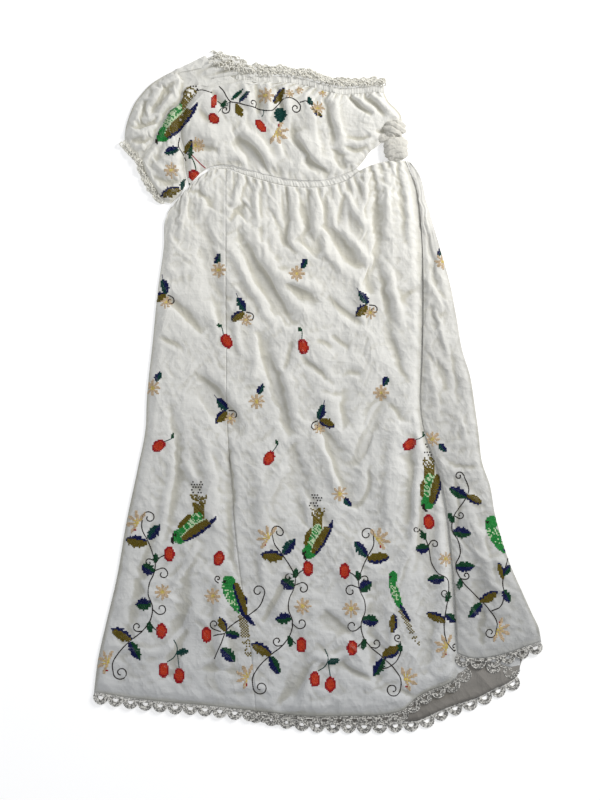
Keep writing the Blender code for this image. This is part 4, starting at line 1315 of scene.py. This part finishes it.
def diving_bird(tilt, size=1.0):
    """A bird that dives to the lower left by a tilt, with a fan of dots for a tail. It is placed by the root
    of its tail."""
    lean = math.radians(tilt)

    def shape(x, y, column, row):
        x, y = x / size, y / size
        ahead = -x * math.sin(lean) - y * math.cos(lean)
        beside_it = x * math.cos(lean) - y * math.sin(lean)
        streak = mixed_number(column + row, (column - row) // 5, 5) < 0.46
        if math.hypot(ahead - 50, beside_it + 5) < 2.6 or (
            51 < ahead < 63 and abs(beside_it + 9 - 0.8 * (ahead - 51)) < 2.4
        ):
            return "brown"
        wing = inside_leaf(ahead, beside_it, (47, 8), (-22, 21), 10.0)
        if wing is not None and ahead < -6:
            return "navy" if wing > -0.1 else None
        if wing is not None and beside_it > 3:
            if wing < -0.78:
                return "pale_green"
            return "navy" if wing > 0.46 + 0.14 * (row % 2) else "olive"
        if math.hypot((ahead - 47) / 11.5, (beside_it - 1) / 12) < 1:
            return "bird_green"
        if inside_leaf(ahead, beside_it, (37, -9), (6, -11), 5.5) is not None and beside_it < -7:
            return "olive"
        if math.hypot((ahead - 22) / 29, beside_it / 11) < 1:
            return "pale_green" if streak and ahead < 38 else "bird_green"
        if -4 < y < 15 and abs(x) < 9.0:
            return "gold" if (column + row) % 3 == 0 else "olive"
        if 15 <= y < 36 and abs(x) < 9 + 0.25 * (y - 15):
            kept = mixed_number(column + row, (column - row) // 3, 8) > 0.18 + 0.022 * (y - 15)
            return ("gold" if (column + row) % 3 == 0 else "olive") if kept else None
        if 36 <= y < 60 and abs(x + 2) < 14 - 0.25 * (y - 36):
            return "brown" if dotted(column, row) and mixed_number(column, row, 10) > 0.42 else None
        return None

    return shape


def perched_bird(winged, tail=100, lean=0.14):
    """A bird that sits with its head up to the left and its tail hanging down to the right."""

    def shape(x, y, column, row):
        if winged:
            wing = inside_leaf(x, y, (-5, 32), (15, -26), 8.0)
            if wing is not None:
                return "navy" if wing > 0.42 else "olive"
            if math.hypot((x - 13) / 5, y / 7.5) < 1:
                return "navy"
        if inside_leaf(x, y, (3, -15), (31, -45), 4.4) is not None:
            return "navy"
        if math.hypot((x + 24) / 3.4, (y - 35) / 2.6) < 1:
            return "brown"
        if math.hypot((x + 16) / 11.5, (y - 34) / 11.5) < 1:
            return "bird_green"
        middle = -9 - 0.5 * (y - 4)
        if math.hypot((x - middle) / 11.5, (y - 5) / 28) < 1:
            flecked = winged or y > -6
            return "pale_green" if flecked and mixed_number(column, row, 7) < 0.28 else "bird_green"
        if -tail < y < -24 and abs(x - 9 - (-30 - y) * lean) < 7.5:
            sparse = (column + row) % 2 == 0 and (y > -66 or mixed_number(column, row, 8) < 0.35)
            return ("gold" if mixed_number(column, row, 9) < 0.5 else "olive") if sparse else None
        return None

    return shape


class Motif:
    """Places, turns and mirrors what it sews, so that one design can be used again elsewhere."""

    def __init__(self, middle, panels, turn=0.0, flip=1, lean=0.0):
        self.middle = middle
        self.panels = panels
        self.turn = turn
        self.flip = flip
        self.lean = lean

    def at(self, x, y):
        """A place of the motif's own on the garment. Above 64 mm the motif leans."""
        angle = math.radians(self.turn)
        x = self.flip * (x + self.lean * max(y - 64, 0.0))
        return (
            self.middle[0] + x * math.cos(angle) - y * math.sin(angle),
            self.middle[1] + x * math.sin(angle) + y * math.cos(angle),
        )

    def leaf(self, x, y, heading, length, width, upper, lower):
        turn = heading if self.flip > 0 else 180 - heading
        shape = leaf_shape(length, 1.2 * width, upper, lower)
        SEWN.fill(shape, self.at(x, y), self.panels, self.turn + turn, reach=length + 2)

    def leaves(self, *rows):
        for row in rows:
            self.leaf(*row)

    def curls(self, *rows):
        for row in rows:
            self.curl(*row)

    def cherry(self, x, y, turn=0.0, wide=9.4, tall=13.6):
        SEWN.fill(cherry_shape(wide, tall), self.at(x, y), self.panels, self.turn + turn, reach=16)

    def petals(self, x, y, radius=14.0):
        SEWN.fill(eight_petals(radius), self.at(x, y), self.panels, self.turn, reach=radius + 3)

    def fan(self, x, y, turn=0.0):
        SEWN.fill(fan_flower, self.at(x, y), self.panels, self.turn + turn * self.flip, self.flip, reach=26)

    def line(self, points, thread="brown", width=STEM_WIDTH):
        SEWN.line([self.at(x, y) for x, y in points], self.panels, thread, width)

    def curl(self, x, y, heading, radius, side, turns, lead=0.0):
        """A tendril that starts at a point, after a straight lead, and rolls up to its left (side 1) or its
        right (-1)."""
        angle = math.radians(heading)
        points = [(x, y)]
        if lead:
            x += lead * math.cos(angle)
            y += lead * math.sin(angle)
            points.append((x, y))
        steps = int(18 * turns)
        bend = 2 * math.pi * turns / steps
        for step in range(steps):
            size = radius * (1 - (1 - CURL_END) * step / steps)
            x += size * bend * math.cos(angle)
            y += size * bend * math.sin(angle)
            angle += side * bend
            points.append((x, y))
        self.line(points)


VINE_STEM = [
    (-12, 138), (-13, 118), (-4, 98), (5, 76), (11, 54), (8, 36), (0, 18), (-1, -2), (6, -22), (3, -44),
    (-10, -64), (-34, -84), (-54, -104), (-66, -126), (-64, -144),
]


def vine(middle, flip=1, lean=0.0):
    """A climbing vine: a waving stem with curls, leaves in two colours, cherries and flowers."""
    motif = Motif(middle, SKIRT, 0.0, flip, lean)
    motif.line(VINE_STEM)
    motif.curls(
        (-12, 138, 72, 12, -1, 1.15),
        (-64, -144, -62, 13, 1, 1.25),
        (10, 42, 22, 11, -1, 1.05, 8),
        (5, -26, -42, 11, 1, 1.0, 9),
        (9, 60, 160, 7, 1, 1.05, 6),
        (-12, -66, 190, 9, -1, 1.05, 5),
    )
    motif.leaves(
        (-2, 98, 52, 34, 17, "teal", "navy"),
        (-4, 92, 172, 40, 20, "olive", "navy_edge"),
        (10, 56, 80, 17, 10, "leaf_green", "leaf_green"),
        (8, 38, 148, 26, 20, "navy", "leaf_green"),
        (3, -16, 188, 28, 20, "leaf_green", "navy"),
        (0, -50, -82, 20, 10, "leaf_green", "leaf_green"),
    )
    motif.line([(12, 56), (20, 66), (28, 70)])
    motif.cherry(36, 72)
    motif.line([(0, -50), (8, -60), (12, -64)])
    motif.cherry(22, -66)
    motif.petals(24, 4)
    motif.fan(-20, 128, -35)
    motif.leaves(
        (-33, -82, 150, 40, 19, "olive", "navy_edge"),
        (-34, -86, -62, 36, 17, "leaf_green", "navy"),
    )
    motif.fan(-74, -122, -20)


def pleat_vine():
    """The vine that half disappears under the side pleat, and the twig beside it."""
    motif = Motif((0, 0), SKIRT)
    motif.line(
        [
            (182, -243), (195, -263), (201, -282), (205, -304), (216, -322), (232, -332), (235, -358),
            (230, -390), (227, -421), (233, -448), (246, -464),
        ]
    )
    motif.curls(
        (199, -274, 60, 8, -1, 1.1, 6),
        (184, -245, 215, 6, -1, 1.0, 3),
        (234, -366, 170, 7, -1, 1.1, 5),
        (245, -462, 10, 7, 1, 1.1),
    )
    motif.leaves(
        (194, -262, 118, 17, 10, "leaf_green", "leaf_green"),
        (201, -278, 184, 26, 17, "navy", "leaf_green"),
        (226, -332, 186, 28, 17, "navy", "leaf_green"),
        (233, -374, 82, 20, 10, "leaf_green", "leaf_green"),
        (229, -408, 158, 36, 16, "olive", "navy_edge"),
        (230, -396, -38, 24, 14, "leaf_green", "navy"),
    )
    motif.petals(230, -297, 12)
    motif.fan(232, -454, -20)
    motif.line([(148, -444), (149, -464), (139, -482), (126, -491), (107, -496)])
    motif.curl(147, -446, 160, 7, -1, 1.1, 4)
    motif.leaves(
        (134, -428, 84, 34, 14, "olive", "navy_edge"),
        (149, -464, 96, 17, 9, "leaf_green", "leaf_green"),
    )


def side_vine():
    """The vine on the side piece, with its twig towards the bird at the edge."""
    motif = Motif((0, 0), SIDE)
    motif.line(
        [
            (262, -146), (271, -174), (261, -196), (245, -219), (242, -246), (252, -264), (256, -286),
            (248, -309), (256, -331), (279, -358), (306, -385), (322, -412), (320, -432),
        ]
    )
    motif.curls(
        (262, -147, 112, 8, 1, 1.2),
        (246, -220, -30, 7, 1, 1.1, 6),
        (257, -332, -10, 7, 1, 1.1, 6),
        (320, -430, -110, 10, -1, 1.2),
    )
    motif.leaves(
        (268, -186, 152, 36, 18, "leaf_green", "navy"),
        (268, -184, -26, 30, 15, "olive", "navy_edge"),
        (243, -232, 112, 20, 10, "leaf_green", "leaf_green"),
        (243, -248, -6, 32, 18, "navy", "leaf_green"),
        (249, -311, 2, 32, 18, "leaf_green", "navy"),
        (256, -333, -96, 19, 10, "leaf_green", "leaf_green"),
        (292, -374, 32, 36, 17, "navy_top", "olive"),
        (295, -377, 226, 34, 17, "navy", "leaf_green"),
    )
    motif.fan(324, -424, 160)
    motif.line([(312, -390), (328, -382), (334, -364), (332, -340), (336, -316), (342, -296)])
    motif.leaves(
        (333, -352, -62, 26, 14, "leaf_green", "navy"),
        (333, -332, 106, 30, 12, "olive", "navy_edge"),
        (333, -326, 52, 22, 12, "navy", "leaf_green"),
    )


def twin_cherries(middle):
    motif = Motif(middle, SKIRT)
    motif.cherry(-14, 4, 4)
    motif.cherry(14, -6, -4)
    motif.line([(-8, 18), (4, 26), (10, 40), (4, 58)], "teal", 2.0)
    motif.line([(14, 8), (12, 22), (10, 36)], "teal", 2.0)
    motif.leaf(9, 34, 12, 22, 12, "teal", "teal")


def branch(middle):
    """The twig that a perched bird sits on, with two leaves and a cherry."""
    motif = Motif(middle, SKIRT)
    motif.line([(48, 12), (40, -8), (22, -24), (0, -36), (-20, -52), (-30, -76), (-42, -104)])
    motif.curls(
        (48, 12, 82, 12, 1, 1.1),
        (-30, -54, 165, 9, -1, 1.1, 12),
    )
    motif.leaves(
        (-22, -54, 112, 28, 14, "olive", "navy_edge"),
        (-22, -58, -12, 26, 14, "leaf_green", "navy"),
        (-28, -84, -48, 34, 19, "leaf_green", "navy"),
    )
    motif.cherry(-56, -61)
    motif.line([(-44, -63), (-36, -60), (-24, -58)])
    motif.curls(
        (-34, 32, 150, 6, -1, 1.2, 4),
        (-26, 34, 60, 5, -1, 0.8),
    )


def cherry_sprig(x, y, turn):
    """One cherry with a hooked stalk."""
    motif = Motif((x, y), SKIRT, turn)
    motif.cherry(0, 0)
    motif.line([(0, 12), (3, 22), (4, 32)], "teal", 1.8)
    motif.leaf(4, 28, 130, 9, 6, "leaf_green", "leaf_green")


def flower_sprig(x, y, panels, leaf_x, leaf_y, heading=65):
    motif = Motif((x, y), panels)
    motif.petals(0, 0, 13.5)
    motif.leaf(leaf_x, leaf_y, heading, 19, 11, "navy", "teal")


def leaf_sprig(x, y, flip, turn):
    """Two leaves, a curl and a small flower."""
    motif = Motif((x, y), SKIRT, turn, flip)
    motif.petals(4, -18, 10.5)
    motif.leaves(
        (2, -2, 118, 28, 14, "teal", "navy"),
        (0, -4, 214, 28, 16, "olive", "navy_edge"),
    )
    motif.curl(4, -4, -12, 8, -1, 1.1, 6)
    motif.line([(0, 0), (-8, 16), (-14, 30)], "navy", 1.3)


def sew_upper_skirt():
    for x, y, leaf_x, leaf_y, panels in (
        (-37, 215, 9, 10, SKIRT),
        (-177, 222, -6, 12, SKIRT),
        (-296, 10, 6, 12, SKIRT),
        (-109, -14, 3, 14, SKIRT),
        (114, 1, 4, 13, SKIRT),
        (225, 237, -8, 10, SIDE),
    ):
        flower_sprig(x, y, panels, leaf_x, leaf_y)
    flower_sprig(40, -180, SKIRT, 8, -8, -52)
    flower_sprig(206, -82, SIDE, 12, -8, -50)
    for x, y, flip, turn in (
        (-132, 150, 1, 0), (88, 162, 1, 8), (4, -44, -1, 10), (-272, 182, 1, -12), (-165, -28, 1, 14),
    ):
        leaf_sprig(x, y, flip, turn)
    for x, y, turn in ((-163, 94, 28), (-26, 84, 12), (-285, -94, -52), (-87, -116, -24), (165, -91, -52)):
        cherry_sprig(x, y, turn)


def sew_border():
    vine((-302, -360))
    vine((-51, -386), lean=-0.26)
    vine((84, -390), -1, -0.06)
    pleat_vine()
    side_vine()
    for x, y, tilt, size in ((-213, -220, 45, 1.08), (0, -240, 20, 1.0), (200, -150, 4, 1.0)):
        SEWN.fill(diving_bird(tilt, size), (x, y), SKIRT, reach=76)
    for x, y, turn in ((200, -231, 12), (-177, -296, -14)):
        Motif((x, y), SKIRT).cherry(0, 0, turn)
    branch((-143, -372))
    SEWN.fill(perched_bird(True), (-143, -372), SKIRT, reach=104)
    SEWN.fill(perched_bird(False, 88, 0.75), (146, -364), SKIRT, reach=104, squeeze=0.66)
    SEWN.fill(perched_bird(False, 0), (331, -264), SIDE, 4, reach=60)
    Motif((-188, -363), SKIRT).petals(0, 0)
    twin_cherries((-262, -500))
    twin_cherries((9, -516))


def sew_bodice():
    motif = Motif((0, 0), SLEEVE + BODICE)
    motif.line([(-219, 545), (-206, 545), (-198, 542), (-189, 540)])
    motif.line(
        [
            (-177, 551), (-169, 543), (-163, 532), (-157, 524), (-143, 521), (-128, 517), (-113, 513),
            (-94, 507), (-81, 508), (-72, 517), (-63, 527), (-50, 530), (-39, 526), (-31, 517),
        ]
    )
    motif.line([(-32, 522), (-20, 524), (-11, 517), (-7, 509), (-2, 503)])
    motif.curls(
        (-157, 523, -92, 8, -1, 1.2, 12),
        (-112, 513, 76, 6, 1, 1.0, 5),
        (-31, 517, -84, 9, -1, 1.2, 2),
    )
    motif.line([(-160, 518), (-170, 514), (-178, 504)], "teal", 1.8)
    motif.line([(-157, 522), (-170, 519), (-180, 525)], "teal", 1.8)
    motif.line([(-100, 496), (-96, 502), (-98, 510)], "teal", 1.8)
    motif.cherry(-186, 524, -8, 5.4, 12.5)
    motif.cherry(-186, 493, 55, 8.4, 11.4)
    motif.cherry(-102, 480, 35, 6.8, 13.6)
    motif.leaves(
        (-163, 525, 224, 15, 8, "leaf_green", "leaf_green"),
        (-154, 527, 42, 28, 7, "teal", "leaf_green"),
        (-141, 523, 44, 27, 8, "teal", "navy"),
        (-146, 519, -66, 26, 12, "olive", "olive"),
        (-78, 520, 56, 35, 14, "navy_top", "olive"),
        (-68, 512, -84, 26, 22, "teal", "teal"),
        (-11, 517, 112, 17, 8, "teal", "teal"),
        (-10, 510, -38, 24, 8, "olive", "navy_edge"),
    )
    motif.petals(-93, 534, 14)
    motif.petals(-50, 538, 8)
    motif.petals(-33, 544, 7)
    motif.fan(-74, 468, 150)
    motif.petals(0, 512, 12)
    motif.petals(9, 541, 8)
    motif.petals(-214, 445, 11)


def sew_sleeve():
    panels = SLEEVE + BODICE
    SEWN.fill(diving_bird(0, 1.2), (-250, 514), panels, -32, reach=90)
    motif = Motif((-232, 424), panels)
    motif.petals(13, 22, 12)
    motif.petals(-30, -24, 13)
    motif.leaves(
        (-18, 16, 200, 26, 15, "teal", "navy"),
        (-6, 8, 60, 26, 12, "olive", "navy_edge"),
        (2, -2, 80, 22, 9, "leaf_green", "leaf_green"),
        (-8, -40, -82, 28, 17, "leaf_green", "teal"),
        (-16, -56, 202, 36, 16, "olive", "navy_edge"),
    )
    motif.line([(6, 0), (12, -14), (14, -26)], "leaf_green", 2.2)
    motif.line([(6, 4), (20, -10), (36, -24)], "red", 2.0)
    motif.cherry(12, -34, 50)
    motif.line([(-16, 36), (-18, 20), (-10, 6), (-4, -6)])


def make_stitches():
    surfaces = {thread: thread_surface(thread, colour) for thread, colour in THREADS.items()}
    sew_upper_skirt()
    sew_border()
    sew_bodice()
    sew_sleeve()
    SEWN.sew(surfaces)


class Cords:
    """Thin round cords and knots of crochet, gathered into one mesh."""

    def __init__(self):
        self.points = []
        self.faces = []

    def tube(self, path, radii, sides=5):
        """A round cord along a path, closed at both ends."""
        path = np.asarray(path, float)
        radii = np.broadcast_to(np.asarray(radii, float), len(path))
        run = np.gradient(path, axis=0)
        run /= np.maximum(np.linalg.norm(run, axis=1), 1e-9)[:, None]
        side = np.cross(run, (0.0, 0.0, 1.0))
        side /= np.maximum(np.linalg.norm(side, axis=1), 1e-9)[:, None]
        up = np.cross(side, run)
        first = len(self.points)
        turns = np.arange(sides) * 2 * math.pi / sides
        for centre, radius, flat, high in zip(path, radii, side, up):
            for turn in turns:
                self.points.append(centre + radius * (math.cos(turn) * flat + math.sin(turn) * high))
        for ring in range(len(path) - 1):
            for index in range(sides):
                here = first + ring * sides + index
                beyond = first + ring * sides + (index + 1) % sides
                self.faces.append((here, here + sides, beyond + sides, beyond))
        last = first + (len(path) - 1) * sides
        self.faces.append(tuple(first + index for index in range(sides)))
        self.faces.append(tuple(last + index for index in reversed(range(sides))))


# The hem's crochet: the depth of its header chain, the half width of the hole in each scallop, the width of
# the ring round that, how deep a scallop hangs, and how many bars cross the ring.
HEADER = 4.4
HOLE = 5.2
RING = 8.4
DEEP = 14.6
BARS = 14


def make_lace(name, node, edge, count, low, surface, start=0):
    """Crochet scallops that hang from an edge: a header chain, then half rings of bars between two chains.
    The first scallops, up to start, are hidden and so left out."""
    stations = count * 8 + 1
    line, slope, length = measured(edge, stations)
    outwards = np.column_stack([slope[:, 1], -slope[:, 0]])
    pitch = length / count
    marks = np.linspace(0, length, stations)
    draw = random.Random(len(name) * 7 + count)
    cords = Cords()

    def point(along, out, lift):
        x, y = (np.interp(along, marks, line[:, axis]) for axis in (0, 1))
        step_x, step_y = (np.interp(along, marks, outwards[:, axis]) for axis in (0, 1))
        reach = out + LACE_SEAM
        return (x + step_x * reach, y + step_y * reach, low + lift)

    def arc(middle, reach, depth, count_points, lift):
        turns = np.linspace(0, math.pi, count_points)
        return [
            point(middle - reach * math.cos(turn), HEADER + depth * math.sin(turn), lift) for turn in turns
        ]

    for out, radius in ((0.5, 0.75), (HEADER - 0.9, 1.0)):
        header_marks = np.linspace(0.3, length - 0.3, count * 9)
        thick = radius * (0.82 + 0.28 * np.abs(np.sin(header_marks * 1.25)))
        cords.tube([point(along, out, 1.1) for along in header_marks], thick)
    for along in np.arange(1.0, length - 1.0, 2.1):
        cords.tube([point(along, 0.4, 1.2), point(along + 0.4, HEADER - 0.8, 1.2)], 0.55, 4)
    beads = 1.0 + 0.55 * np.abs(np.sin(np.linspace(0, math.pi * 11, 23)))
    for index in range(start, count):
        middle = (index + 0.5) * pitch
        grow = draw.uniform(0.93, 1.04)
        tilt = draw.uniform(-0.5, 0.5)
        cords.tube(arc(middle, HOLE + RING - 1.1, (DEEP - 1.1) * grow, 23, 1.6), beads)
        cords.tube(arc(middle, HOLE + 0.6, (DEEP - RING) * grow + 0.5, 11, 1.2), 0.95)
        for number in range(BARS):
            turn = math.pi * (number + 0.5) / BARS
            near = point(
                middle - (HOLE + 0.8) * math.cos(turn),
                HEADER + ((DEEP - RING) * grow + 0.8) * math.sin(turn), 1.0,
            )
            far = point(
                middle - (HOLE + RING - 1.0) * math.cos(turn + 0.02 * tilt),
                HEADER + (DEEP - 1.0) * grow * math.sin(turn), 1.0,
            )
            centre = np.add(near, far) / 2 + (0, 0, draw.uniform(0.4, 0.9))
            cords.tube([near, centre, far], [0.7, 1.15, 0.85])
    add_crochet(name, node, cords, surface)


def add_crochet(name, node, cords, surface):
    made = new_object(name, np.array(cords.points), cords.faces, surface)
    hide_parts(node)


FRILL_LAYERS = 3


def make_frill(name, node, edge, low, deep, tall, surface, seed, inside=0.0, clump=0.0):
    """A crochet frill that its elastic has drawn up: crowded small loops that stand and lean all ways. A
    clump of it falls inwards at the left end."""
    draw = random.Random(seed)
    places = np.linspace(0, 1, 200)
    marks, slope, length = measured(edge, len(places))
    cords = Cords()
    for layer in range(FRILL_LAYERS):
        count = int(length / 4.2)
        for number in range(count):
            at = (number + draw.uniform(0.1, 0.9)) / count
            x, y = (np.interp(at, places, marks[:, axis]) for axis in (0, 1))
            step = np.array([np.interp(at, places, slope[:, axis]) for axis in (0, 1)])
            outwards = np.array([step[1], -step[0]])
            wave = 0.5 + 0.5 * soft_noise(np.array([at * length / 13.0]), np.array([0.5]), seed)[0]
            reach = draw.uniform(2.8, 5.2)
            share = (layer + draw.uniform(0.0, 1.0)) / FRILL_LAYERS
            inwards = inside + clump * min(max((-85 - x) / 60, 0.0), 1.0)
            out = -inwards + share * (deep * (0.55 + 0.45 * wave) - 0.8 * reach + inwards) + 1.2
            lift = 1.6 + (tall - 2.6) * (1 - 0.5 * share) * draw.uniform(0.15, 1.0) * (0.5 + 0.5 * wave)
            lift += 4.5 * min(max(-out / 6, 0.0), 1.0) if clump else 0.0
            lean = draw.uniform(-0.9, 0.9)
            turn = draw.uniform(-0.8, 0.8)
            path = []
            for angle in np.linspace(-0.3, math.pi + 0.3, 8):
                along = reach * math.cos(angle)
                away = reach * math.sin(angle) * math.cos(lean)
                place = (
                    np.array([x, y])
                    + (along * math.cos(turn) - away * math.sin(turn)) * step
                    + (out + along * math.sin(turn) * 0.5 + away * math.cos(turn)) * outwards
                )
                path.append((*place, low + max(lift + reach * math.sin(angle) * math.sin(lean), 1.6)))
            thick = 0.85 + 0.65 * np.abs(np.sin(np.linspace(0, 2.5 * math.pi, 8)))
            cords.tube(path, thick)
    add_crochet(name, node, cords, surface)


def make_laces(yarn, cream):
    front = HEM_LEFT[:-1] + HEM_FRONT
    make_lace("hem_crochet_front", "hem_lace_front", front, 26, FRONT_LOW, yarn)
    make_lace("hem_crochet_side", "hem_lace_side", HEM_SIDE, 6, SIDE_LOW, yarn)
    make_lace("hem_crochet_back", "hem_lace_back", HEM_BACK, 28, BACK_LOW, yarn, 10)
    make_lace("hem_crochet_underlay", "hem_lace_underlay", UNDERLAY_HEM, 2, FRONT_LOW, yarn)
    make_frill("neck_crochet_front", "neck_lace_front", NECK_EDGE[::-1], FRONT_LOW, 13.5, 9.0, cream, 71)
    make_frill("neck_crochet_back", "neck_lace_back", NECK_BEHIND, BACK_LOW, 14.5, 7.0, cream, 72, clump=22.0)
    make_frill("sleeve_crochet", "sleeve_lace", CUFF_EDGE, FRONT_LOW, 10.5, 6.0, cream, 73, inside=4.0)


def camera_and_light():
    """The camera looks straight down. A soft light stands low beyond the neck, to the right, and a weak one
    to the left."""
    data = bpy.data.cameras.new("camera")
    data.sensor_fit = "VERTICAL"
    data.angle = 2 * math.atan(VIEW_TALL / 2 / VIEW_HEIGHT)
    camera = bpy.data.objects.new("camera", data)
    camera.location = (VIEW_MIDDLE[0] * MM, VIEW_MIDDLE[1] * MM, VIEW_HEIGHT * MM)
    bpy.context.scene.collection.objects.link(camera)
    bpy.context.scene.camera = camera
    world = bpy.data.worlds.new("studio")
    world.use_nodes = True
    world.node_tree.nodes["Background"].inputs["Color"].default_value = (0.97, 0.98, 1.0, 1.0)
    world.node_tree.nodes["Background"].inputs["Strength"].default_value = 0.47
    bpy.context.scene.world = world
    bpy.context.scene.view_settings.view_transform = "Standard"
    for name, place, size, power, colour in (
        ("key", (1.55, 1.15, 1.0), 0.7, 35.0, (1.0, 0.99, 0.97)),
        ("fill", (-1.4, 0.2, 1.9), 1.8, 6.0, (0.95, 0.97, 1.0)),
    ):
        lamp = bpy.data.lights.new(name, "AREA")
        lamp.size = size
        lamp.energy = power
        lamp.color = colour
        made = bpy.data.objects.new(name, lamp)
        made.location = place
        x, y, z = place
        made.rotation_euler = (math.atan2(math.hypot(x, y), z), 0.0, math.atan2(-y, -x) - math.pi / 2)
        bpy.context.scene.collection.objects.link(made)


def make_floor():
    """A plain white surface that glows a little, so that it shows as white as the photograph's."""
    mesh = bpy.data.meshes.new("floor")
    corners = [(-6, -6, 0), (6, -6, 0), (6, 6, 0), (-6, 6, 0)]
    mesh.from_pydata(corners, [], [(0, 1, 2, 3)])
    surface = bpy.data.materials.new("floor_white")
    surface.use_nodes = True
    shader = surface.node_tree.nodes["Principled BSDF"]
    shader.inputs["Base Color"].default_value = (0.95, 0.95, 0.95, 1.0)
    shader.inputs["Roughness"].default_value = 0.9
    shader.inputs["Emission Color"].default_value = (1.0, 1.0, 1.0, 1.0)
    shader.inputs["Emission Strength"].default_value = 0.35
    mesh.materials.append(surface)
    floor = bpy.data.objects.new("floor", mesh)
    bpy.context.scene.collection.objects.link(floor)


def main():
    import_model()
    camera_and_light()
    make_floor()
    # Each cotton is given its own colour and, second, the darker colour of painted shade at the hem.
    cotton = cotton_surface("cream_cotton", (0.86, 0.85, 0.80), (0.63, 0.64, 0.645))
    # The side piece is dressed in a darker copy of the cotton, as painted shade.
    make_skirt(cotton, cotton_surface("side_cotton_painted_shade", (0.78, 0.77, 0.725), (0.48, 0.49, 0.495)))
    make_bodice(cotton)
    make_casings(cotton)
    make_sleeve(cotton)
    # The skirt's back panel is dressed in much darker cotton, darkest at the hem: painted shade where it
    # shows under the front's hem.
    make_backs(cotton, cotton_surface("cotton_behind_painted_shade", (0.70, 0.69, 0.66), (0.23, 0.215, 0.195)))
    # The tie is dressed in a darker copy of the cotton, as painted shade.
    make_tie(cotton_surface("tie_cotton", (0.70, 0.68, 0.62), (0.6, 0.6, 0.58)))
    make_stitches()
    # The hem lace's yarn gets deep painted shade in its dark patches, the cream frills a little.
    make_laces(
        crochet_surface("crochet_yarn", (0.80, 0.785, 0.74), 0.20),
        crochet_surface("cream_crochet_yarn", (0.86, 0.84, 0.76), 0.78),
    )


main()
